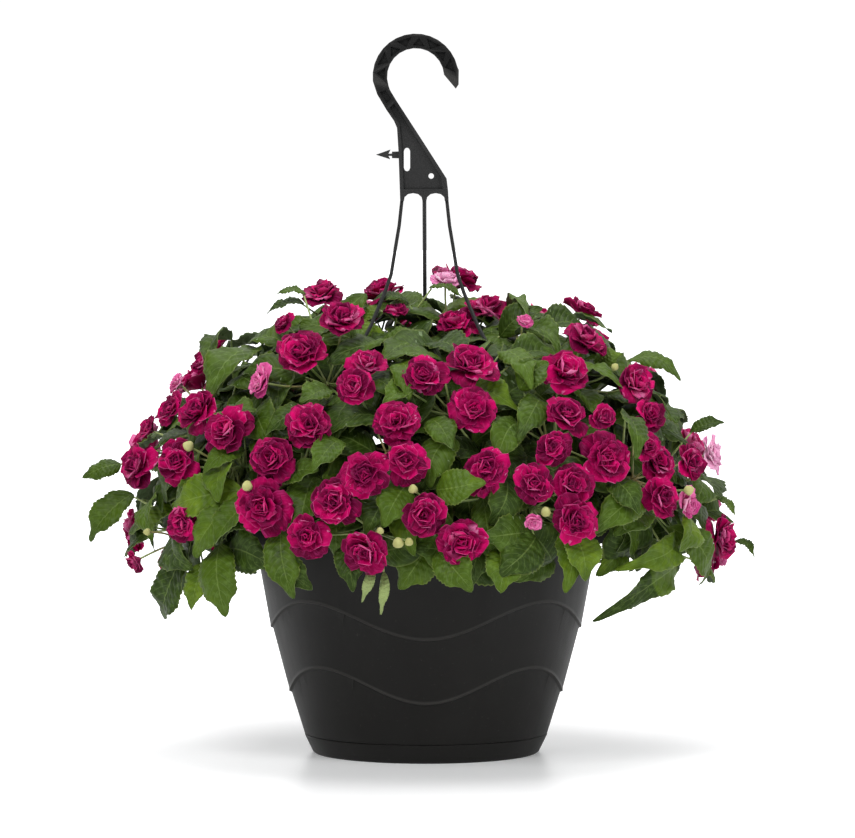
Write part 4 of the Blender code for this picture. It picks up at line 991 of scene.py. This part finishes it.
def add_bloom(heap, b, rnd, petals=0, openness=1.0, blush=0.3):
    R, face = b["radius"], b["face"]
    a = face.orthogonal().normalized()
    c = face.cross(a)
    frame3 = np.stack([arr(a), arr(c), arr(face)])
    turn = rnd.uniform(0, 6.28)
    flushed = rnd.random() < blush
    squash = rnd.uniform(-0.09, 0.09)
    drift_x, drift_y = rnd.uniform(-0.035, 0.035) * R, rnd.uniform(-0.035, 0.035) * R
    t = np.linspace(0, 1, PETAL_ROWS)[:, None]
    s = np.linspace(-1, 1, PETAL_COLS)[None, :]
    n = PETAL_ROWS * PETAL_COLS
    for w, (count, L, W, rise0, rise1, cup, ruffle, lift) in enumerate(WHORLS):
        for k in range(count):
            q = turn + w * 0.55 + 2 * math.pi * (k + rnd.uniform(-0.16, 0.16)) / count
            length = L * R * rnd.uniform(0.82, 1.04)
            wide = W * R * rnd.uniform(0.86, 1.12)
            r0 = math.radians(rise0 + rnd.uniform(-9, 9) + (1 - openness) * 30)
            r1 = math.radians(rise1 + rnd.uniform(-22, 24) + (1 - openness) * 45)
            tt = np.linspace(0, 1, PETAL_ROWS)
            th = r0 + (r1 - r0) * tt**0.75
            step = length / (PETAL_ROWS - 1)
            cx = np.concatenate([[0], np.cumsum(np.cos((th[1:] + th[:-1]) / 2) * step)])[:, None]
            cz = np.concatenate([[0], np.cumsum(np.sin((th[1:] + th[:-1]) / 2) * step)])[:, None]
            nx, nz = -np.sin(th)[:, None], np.cos(th)[:, None]
            body = np.clip(t, 0.02, 1) ** 0.55 * np.sqrt(np.clip(1 - (np.clip(t - 0.55, 0, 1) / 0.47) ** 2.2, 0.10, 1))
            half = wide * 0.5 * body
            ph, ph2, tilt = rnd.uniform(0, 6.28), rnd.uniform(0, 6.28), rnd.uniform(-0.34, 0.34)
            out = half * ((cup + rnd.uniform(-0.05, 0.22)) * np.abs(s) ** 2 * 1.5)
            out = out + R * ruffle * 1.55 * t**1.5 * (np.sin(s * 3.1 + ph) * 0.9 + np.sin(s * 6.4 + ph2) * 0.6)
            out = out + half * s * tilt
            notch = 1 - 0.085 * np.exp(-((s / 0.26) ** 2)) * t**4 - 0.05 * t**3 * s * s
            x = (cx * notch + nx * out) + R * 0.05
            z = cz * notch + nz * out - 0.40 * R + lift * R
            y = half * s + x * 0 + R * 0.02 * np.sin(t * 5 + ph)
            ca, sa = math.cos(q), math.sin(q)
            local = np.stack([(x * ca - y * sa) * (1 + squash) + drift_x * w, (x * sa + y * ca) * (1 - squash) + drift_y * w, z], -1)
            P = local.reshape(-1, 3) @ frame3 + arr(b["place"])
            verts = thick_sheet(P.reshape(PETAL_ROWS, PETAL_COLS, 3), 0.00035)
            r = rnd.random()
            tones = np.stack([np.full(n, r), np.broadcast_to(t, (PETAL_ROWS, PETAL_COLS)).ravel(), np.full(n, w / 5), np.ones(n)], -1)
            warm = rnd.uniform(0.4, 1.0) if flushed and w in (1, 2) and rnd.random() < 0.25 else 0.0
            sides = np.stack([np.zeros(n), np.broadcast_to(s * 0.5 + 0.5, (PETAL_ROWS, PETAL_COLS)).ravel(), np.full(n, warm), np.ones(n)], -1)
            # the sheet's first skin faces away from the bloom's middle, so it is the petal's back
            back = sides.copy()
            sides[:, 0] = 1.0
            heap.add(verts, PETAL_FACES, petals, np.concatenate([tones, tones]), np.concatenate([sides, back]))



def add_bud(heap, b, rnd, slot):
    """A pointed bud with a few folded ridges."""
    R, face = b["radius"], b["face"]
    a = face.orthogonal().normalized()
    c = face.cross(a)
    rows, cols = 10, 12
    verts = []
    for i in range(rows):
        t = i / (rows - 1)
        r = R * 0.92 * math.sin(math.pi * min(0.985, 0.03 + t * 0.96)) ** 0.75 * (1.0 - 0.25 * t)
        for j in range(cols):
            q = 2 * math.pi * j / cols + t * 0.9
            rr = r * (1 + 0.07 * math.cos(q * 3 + t))
            verts.append(tuple(b["place"] + face * (R * (-0.95 + 1.9 * t)) + (a * math.cos(q) + c * math.sin(q)) * rr))
    quads = [(i * cols + j, i * cols + (j + 1) % cols, (i + 1) * cols + (j + 1) % cols, (i + 1) * cols + j) for i in range(rows - 1) for j in range(cols)]
    for base, flip in ((0, True), ((rows - 1) * cols, False)):
        for j in range(1, cols // 2):
            q = (base + (j - 1), base + j, base + (cols - j - 1) % cols, base + (cols - j) % cols)
            if len(set(q)) == 4:
                quads.append(q[::-1] if flip else q)
    heap.add(verts, quads, slot)


blooms, knots, stems, leaves, room = plan([turned_shape(pot_rows), turned_shape(lambda a: SAUCER_ROWS), plate_block] + strand_blocks)
rnd = random.Random(23)

for s, stem in stems.items():
    heap = Heap()
    (main, r), *branches = stem["parts"]
    path = smooth_path(main, 10)
    v, q = tube_rows(path, [r * (1.15 - 0.25 * i / (len(path) - 1)) for i in range(len(path))], 10)
    heap.add(v, q, 1)
    for bpath, br in branches:
        path = smooth_path([main[-1] - (main[-1] - main[-2]) * 0.1] + bpath[1:], 14)
        v, q = tube_rows(path, [br * (1.1 - 0.35 * i / (len(path) - 1)) for i in range(len(path))], 8)
        heap.add(v, q, 1)
    for leaf in leaves:
        if leaf["shoot"] == s:
            add_leaf(heap, leaf, rnd, tired=leaf["tag"] in TIRED)
    heap.piece(f"shoot_leaves_{s + 1:02d}", [LEAF, STEM], "leaf_green", (f"shoot_{s + 1:02d}",))

for g, knot in enumerate(knots):
    heap = Heap()
    for b in blooms:
        if b["group"] != g:
            continue
        tag = b["tag"]
        path = smooth_path(list(b["path"]), 8)
        v, q = tube_rows(path, [0.00085] * len(path), 6)
        heap.add(v, q, 1)
        if tag >= 2000:
            add_bud(heap, b, rnd, 3)
        else:
            pink = tag in PINK or (tag >= 1000 and rnd.random() < 0.07)
            small = b["radius"] < 0.0135
            add_bloom(heap, b, rnd, 4 if tag in PALEST else 2 if pink else 0, openness=0.62 if small else rnd.uniform(0.82, 1.06), blush=1.0 if tag in BLUSH else 0.22)
    v, q = tube_rows([knot - Vector((0, 0, 0.002)), knot, knot + Vector((0, 0, 0.002))], [0.0015, 0.0026, 0.0015], 8)
    heap.add(v, q, 1)
    heap.piece(f"petals_{g + 1:02d}", [PETALS[0], STEM, PETALS[1], BUD, PALE_PETAL], "magenta_petals", (f"blooms_{g + 1:02d}",))

# inner and filling leaves between the blooms
front_blooms = [(*sheet(b["place"]), b["radius"] / STEP, b["place"].y) for b in blooms if b["tag"] < 1000 or b["tag"] >= 2000]


def hides_bloom(base, tip):
    """Whether a leaf would stand before one of the blooms that face the front."""
    for p in (base, base.lerp(tip, 0.35), base.lerp(tip, 0.7), tip):
        u, v = sheet(p)
        if any((u - bu) ** 2 + (v - bv) ** 2 < (r + 7) ** 2 and p.y < by + 0.004 for bu, bv, r, by in front_blooms):
            return True
    return False


fillers = [Heap() for _ in range(8)]
posts = [(a.lerp(b, f), s) for s in stems for path, _ in stems[s]["parts"][1:] for a, b in zip(path, path[1:]) for f in (0.2, 0.6, 0.95)]
made = 0
for k, d in enumerate(dome_points(900, 2.3)):
    if d.z < -0.12:
        continue
    depth = (0.80, 0.86, 0.73, 0.90)[k % 4]
    base = MOUND_C + Vector((d.x * MOUND_R.x, d.y * MOUND_R.y, d.z * MOUND_R.z)) * depth
    if Vector((base.x, base.y)).length < 0.165 and base.z < 0.2:
        continue
    n = outward(base)
    down = (Vector((n.x, n.y, 0)) - Vector((0, 0, 0.6))).normalized()
    down = (down - n * down.dot(n)).normalized() if abs(n.z) < 0.96 else n.orthogonal()
    swirl = n.cross(down)
    for _ in range(4):
        q = rnd.uniform(-1.7, 1.7)
        way = (down * math.cos(q) + swirl * math.sin(q) + n * rnd.uniform(0.0, 0.45)).normalized()
        length, width = rnd.uniform(0.040, 0.060), rnd.uniform(0.024, 0.034)
        tip = base + way * length
        if scaled(tip - MOUND_C).length > 0.99 or tip.z < 0.150 or min(base.y, tip.y) < shelf(*sheet(tip)) + 0.004 or hides_bloom(base, tip):
            continue
        normal = (n + Vector((rnd.uniform(-0.4, 0.4), rnd.uniform(-0.4, 0.4), 0.35 + rnd.uniform(-0.2, 0.2)))).normalized()
        blade = leaf_shape(base, base, tip, normal, width, 0.0010, True)
        if not room.free(blade, lambda o, kk: kk == "stem"):
            continue
        root, s = min(posts, key=lambda p: (p[0] - base).length)
        room.add(leaf_shape(base, base, tip, normal, width, 0.0, True), s, "leaf")
        add_leaf(fillers[k % 8], {"root": root, "base": base, "tip": tip, "normal": normal, "width": width}, rnd, tone=rnd.uniform(0.0, 0.6), coarse="middle")
        made += 1
        break
# leaves on the hollow of the top, behind the strands
for u0 in range(358, 508, 12):
    for v0 in range(290, 356, 11):
        u, v = u0 + rnd.uniform(-5, 5), v0 + rnd.uniform(-4, 4)
        base = spot(u, v, max(shelf(u, v), on_mound(u, v).y) + rnd.uniform(0.008, 0.022))
        if scaled(base - MOUND_C).length > 0.97:
            continue
        for _ in range(6):
            q = rnd.uniform(0, 6.28)
            way = (Vector((math.cos(q), -0.10, math.sin(q) * 0.7)) + Vector((0, 0, -0.15))).normalized()
            length, width = rnd.uniform(0.036, 0.054), rnd.uniform(0.022, 0.032)
            tip = base + way * length
            if scaled(tip - MOUND_C).length > 1.0 or tip.y < shelf(*sheet(tip)) + 0.006 or hides_bloom(base, tip):
                continue
            normal = (Vector((0, 0, 0.55)) - FWD + Vector((rnd.uniform(-0.4, 0.4), 0, rnd.uniform(-0.2, 0.2)))).normalized()
            blade = leaf_shape(base, base, tip, normal, width, 0.0008, True)
            if not room.free(blade, lambda o, kk: kk == "stem"):
                continue
            root, s = min(posts, key=lambda p: (p[0] - base).length)
            room.add(leaf_shape(base, base, tip, normal, width, 0.0, True), s, "leaf")
            add_leaf(fillers[made % 8], {"root": root, "base": base, "tip": tip, "normal": normal, "width": width}, rnd, tone=rnd.uniform(0.2, 0.9), coarse="middle")
            made += 1
            break
# the leaves of the inside, which close the mound, with painted shade: they take only the darkest leaf tones
inner = 0
for k, d in enumerate(dome_points(620, 0.9)):
    if d.z < -0.16:
        continue
    depth = (0.74, 0.60, 0.82, 0.68)[k % 4]
    base = MOUND_C + Vector((d.x * MOUND_R.x, d.y * MOUND_R.y, d.z * MOUND_R.z)) * depth
    if (Vector((base.x, base.y)).length < 0.17 and base.z < 0.195) or base.z > 0.345:
        continue
    n = outward(base)
    for _ in range(5):
        a = n.orthogonal().normalized()
        q = rnd.uniform(0, 6.28)
        way = (a * math.cos(q) + n.cross(a) * math.sin(q) + n * rnd.uniform(-0.1, 0.3)).normalized()
        length, width = rnd.uniform(0.044, 0.062), rnd.uniform(0.028, 0.038)
        tip = base + way * length
        if tip.z < 0.160 or min(base.y, tip.y) < shelf(*sheet(tip)) + 0.004 or hides_bloom(base, tip):
            continue
        normal = (n + Vector((rnd.uniform(-0.3, 0.3), rnd.uniform(-0.3, 0.3), 0.15))).normalized()
        if not room.free(leaf_shape(base, base, tip, normal, width, 0.0008, True), lambda o, kk: kk in ("stem", "leaf")):
            continue
        root, s = min(posts, key=lambda p: (p[0] - base).length)
        # painted shade: a dark leaf tone of 0.0 to 0.30
        add_leaf(fillers[k % 8], {"root": root, "base": base, "tip": tip, "normal": normal, "width": width}, rnd, tone=rnd.uniform(0.0, 0.30), coarse=True)
        inner += 1
        break
for k, heap in enumerate(fillers):
    heap.piece(f"inner_leaves_{k + 1}", [LEAF, STEM], "leaf_green")
print("filling leaves", made, "inner leaves", inner)


# ---------------------------------------------------------------- pot, saucer, soil
def dense(rows, near=0.0006):
    """The profile with each corner rounded and long runs divided, so that a smooth shade holds."""
    out = []
    pts = [np.array(p) for p in rows]
    for k, p in enumerate(pts):
        if k in (0, len(pts) - 1):
            out.append(p)
            continue
        a, b = pts[k - 1] - p, pts[k + 1] - p
        la, lb = np.linalg.norm(a), np.linalg.norm(b)
        e = min(near, la * 0.35, lb * 0.35)
        out += [p + a / la * e, p + (a / la + b / lb) * e * 0.22, p + b / lb * e]
    full = [out[0]]
    for a, b in zip(out, out[1:]):
        n = max(1, int(np.linalg.norm(b - a) / 0.012))
        full += [a + (b - a) * (i + 1) / n for i in range(n)]
    return full


def turned_piece(name, rows_at, mat, node, segments=192, near=0.0006):
    rows0 = dense(rows_at(0.0), near)
    count = len(rows0)
    verts = []
    for s in range(segments):
        a = 2 * math.pi * s / segments
        rows = dense(rows_at(a), near)
        if len(rows) != count:
            # keep one division for every angle: stretch the first one's
            rows = [np.array(r) for r in resample(rows_at(a), rows_at(0.0), rows0, near)]
        verts += [(r * math.cos(a), r * math.sin(a), z) for r, z in rows]
    faces = []
    for s in range(segments):
        t = (s + 1) % segments
        for k in range(count - 1):
            faces.append((s * count + k, t * count + k, t * count + k + 1, s * count + k + 1))
    me = bpy.data.meshes.new(name)
    bottom, top = len(verts), len(verts) + 1
    verts += [(0, 0, rows0[0][1]), (0, 0, rows0[-1][1])]
    for s in range(segments):
        t = (s + 1) % segments
        faces.append((bottom, t * count, s * count))
        faces.append((top, s * count + count - 1, t * count + count - 1))
    me.from_pydata([tuple(map(float, v)) for v in verts], [], faces)
    me.materials.append(mat)
    me.validate()
    me.shade_smooth()
    me.set_sharp_from_angle(angle=math.radians(50))
    ob = bpy.data.objects.new(name, me)
    scene.collection.objects.link(ob)
    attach(ob, "root")
    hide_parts(node)
    return ob


def resample(rows, rows_ref, dense_ref, near):
    """Divides rows as dense_ref divides rows_ref, so that each ring has the same number of points."""
    ref, cur = [np.array(p) for p in rows_ref], [np.array(p) for p in rows]

    def lengths(p):
        d = [0.0]
        for a, b in zip(p, p[1:]):
            d.append(d[-1] + float(np.linalg.norm(b - a)))
        return d

    lr, lc = lengths(ref), lengths(cur)
    out, walked = [], 0.0
    last = dense_ref[0]
    for p in dense_ref:
        # find the segment of the reference that p lies nearest to
        best = None
        for k, (a, b) in enumerate(zip(ref, ref[1:])):
            ab = b - a
            f = min(1, max(0, float(np.dot(p - a, ab) / np.dot(ab, ab))))
            gap = float(np.linalg.norm(p - (a + ab * f)))
            if best is None or gap < best[0] - 1e-9:
                best = (gap, k, f, p - (a + ab * f))
        _, k, f, off = best
        out.append(cur[k] + (cur[k + 1] - cur[k]) * f + off)
    return out


def soft_pot_rows(angle):
    """The pot's profile with a fine rounded lip along each waved step."""
    rows = pot_rows(angle)
    for k in (7, 5):
        r, z = rows[k]
        rows[k : k + 1] = [(r + 0.0008, z), (r + 0.0008, z + 0.0007), (r + 0.0005 + 0.0004, z + 0.0030)]
    return rows


turned_piece("pot_shell", soft_pot_rows, POT, "pot")
turned_piece("drip_saucer", lambda a: SAUCER_ROWS, SAUCER, "saucer", near=0.0005)


def crumbly_soil():
    inner = lambda z: wall_radius(z) - WALL - STEP_OUT * 2 - 0.0010
    verts, rings, segments = [], 46, 120
    foot = SAUCER_WALL + GAP + WALL + GAP
    profile = [(SAUCER_FOOT_R - SAUCER_WALL - 0.0080, foot + 0.0004), (inner(SAUCER_H) - 0.0006, SAUCER_H + 0.006), (inner(0.075), 0.077), (inner(0.166), 0.166)]
    top = [(inner(0.166) * (1 - (i + 1) / rings), SOIL_TOP - 0.0022) for i in range(rings - 1)]
    rows = profile + top
    count = len(rows)
    for s in range(segments):
        a = 2 * math.pi * s / segments
        for k, (r, z) in enumerate(rows):
            if k >= 4:
                p = Vector((r * math.cos(a), r * math.sin(a), 0))
                z += 0.0022 * noise.noise(p * 60) + 0.0016 * noise.noise(p * 190) - (0.004 if r > inner(0.166) * 0.96 else 0)
                z = min(z, SOIL_TOP + 0.0012)
            verts.append((r * math.cos(a), r * math.sin(a), z))
    faces = []
    for s in range(segments):
        t = (s + 1) % segments
        for k in range(count - 1):
            faces.append((s * count + k, t * count + k, t * count + k + 1, s * count + k + 1))
    faces.append(tuple(s * count for s in reversed(range(segments))))
    faces.append(tuple(s * count + count - 1 for s in range(segments)))
    me = bpy.data.meshes.new("compost")
    me.from_pydata(verts, [], faces)
    me.materials.append(SOIL)
    me.validate()
    me.shade_smooth()
    ob = bpy.data.objects.new("compost", me)
    scene.collection.objects.link(ob)
    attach(ob, "root")
    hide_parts("potting_soil")


crumbly_soil()

# ---------------------------------------------------------------- hanger
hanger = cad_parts["hanger"]
round_edges = hanger.modifiers.new("soft_edges", "BEVEL")
round_edges.width = 0.0005
round_edges.segments = 2
round_edges.limit_method = "ANGLE"
round_edges.angle_limit = math.radians(40)
round_edges.harden_normals = True
for slot in hanger.material_slots:
    slot.material = HANGER
if not hanger.material_slots:
    hanger.data.materials.append(HANGER)

# ---------------------------------------------------------------- floor, light, camera
n = Nodes("studio_floor")
FLOOR = n.finish(n.mix(n.span(n.noise(3.0, 2.0), 0.3, 0.7), (0.905, 0.906, 0.910), (0.915, 0.916, 0.920)), n.span(n.noise(2.0), 0.3, 0.7, 0.30, 0.34), Specular_IOR_Level=0.35)
# painted light: the floor glows, faintly near the pot, which lightens the shadows on it, and more further out, where
# it runs into an even white
where = n.new("ShaderNodeVectorMath", operation="LENGTH")
n.link(n.new("ShaderNodeTexCoord").outputs["Object"], where.inputs[0])
n.feed(n.shader.inputs["Emission Color"], (0.96, 0.98, 1.0))
n.feed(n.shader.inputs["Emission Strength"], n.span(where.outputs["Value"], 0.50, 1.5, 0.15, 1.0))
me = bpy.data.meshes.new("studio_floor")
steps = [-30, -8, -3, -1.5, -0.75, 0, 0.75, 1.5, 3, 8, 30]
verts = [(x, y, 0.0) for y in steps for x in steps]
faces = [(r * 11 + c, r * 11 + c + 1, r * 11 + c + 12, r * 11 + c + 11) for r in range(10) for c in range(10)]
me.from_pydata(verts, [], faces)
me.materials.append(FLOOR)
floor = bpy.data.objects.new("studio_floor", me)
scene.collection.objects.link(floor)


def area(name, place, aim, size, power, colour=(1, 1, 1)):
    light = bpy.data.lights.new(name, "AREA")
    light.shape = "RECTANGLE"
    light.size, light.size_y = size
    light.energy = power
    light.color = colour
    ob = bpy.data.objects.new(name, light)
    ob.location = place
    ob.rotation_euler = (Vector(aim) - Vector(place)).to_track_quat("-Z", "Y").to_euler()
    scene.collection.objects.link(ob)
    return ob


area("key_soft", (-0.9, -2.3, 2.2), (0, 0, 0.22), (1.2, 1.2), 66)
area("fill_right", (1.9, -1.6, 1.2), (0, 0, 0.22), (1.0, 1.6), 22)
area("top_soft", (0.1, 0.1, 2.5), (0, 0, 0.2), (1.8, 1.8), 44)

world = bpy.data.worlds.new("studio")
scene.world = world
world.use_nodes = True
tree = world.node_tree
bg = tree.nodes["Background"]
bg.inputs[0].default_value = (1.0, 1.0, 1.0, 1)
coords = tree.nodes.new("ShaderNodeTexCoord")
axes = tree.nodes.new("ShaderNodeSeparateXYZ")
tree.links.new(coords.outputs["Generated"], axes.inputs[0])
ramp = tree.nodes.new("ShaderNodeMapRange")
ramp.interpolation_type = "SMOOTHSTEP"
tree.links.new(axes.outputs["Y"], ramp.inputs[0])
for i, value in enumerate((-0.30, 0.90, 0.08, 1.15), 1):
    ramp.inputs[i].default_value = value
tree.links.new(ramp.outputs[0], bg.inputs[1])
# the backdrop itself is plain white from every side
plain_white = tree.nodes.new("ShaderNodeBackground")
plain_white.inputs[0].default_value = (1.0, 1.0, 1.0, 1)
plain_white.inputs[1].default_value = 1.05
seen = tree.nodes.new("ShaderNodeLightPath")
choose = tree.nodes.new("ShaderNodeMixShader")
tree.links.new(seen.outputs["Is Camera Ray"], choose.inputs[0])
tree.links.new(bg.outputs[0], choose.inputs[1])
tree.links.new(plain_white.outputs[0], choose.inputs[2])
tree.links.new(choose.outputs[0], tree.nodes["World Output"].inputs[0])
scene.view_settings.view_transform = "Standard"
scene.view_settings.look = "None"

cam = bpy.data.cameras.new("camera")
cam.sensor_fit = "HORIZONTAL"
cam.sensor_width = 36.0
cam.lens = 36.0 * DIST / (855 * STEP)
cam.clip_end = 50
camera = bpy.data.objects.new("camera", cam)
camera.location = EYE
camera.rotation_euler = FWD.to_track_quat("-Z", "Y").to_euler()
scene.collection.objects.link(camera)
scene.camera = camera
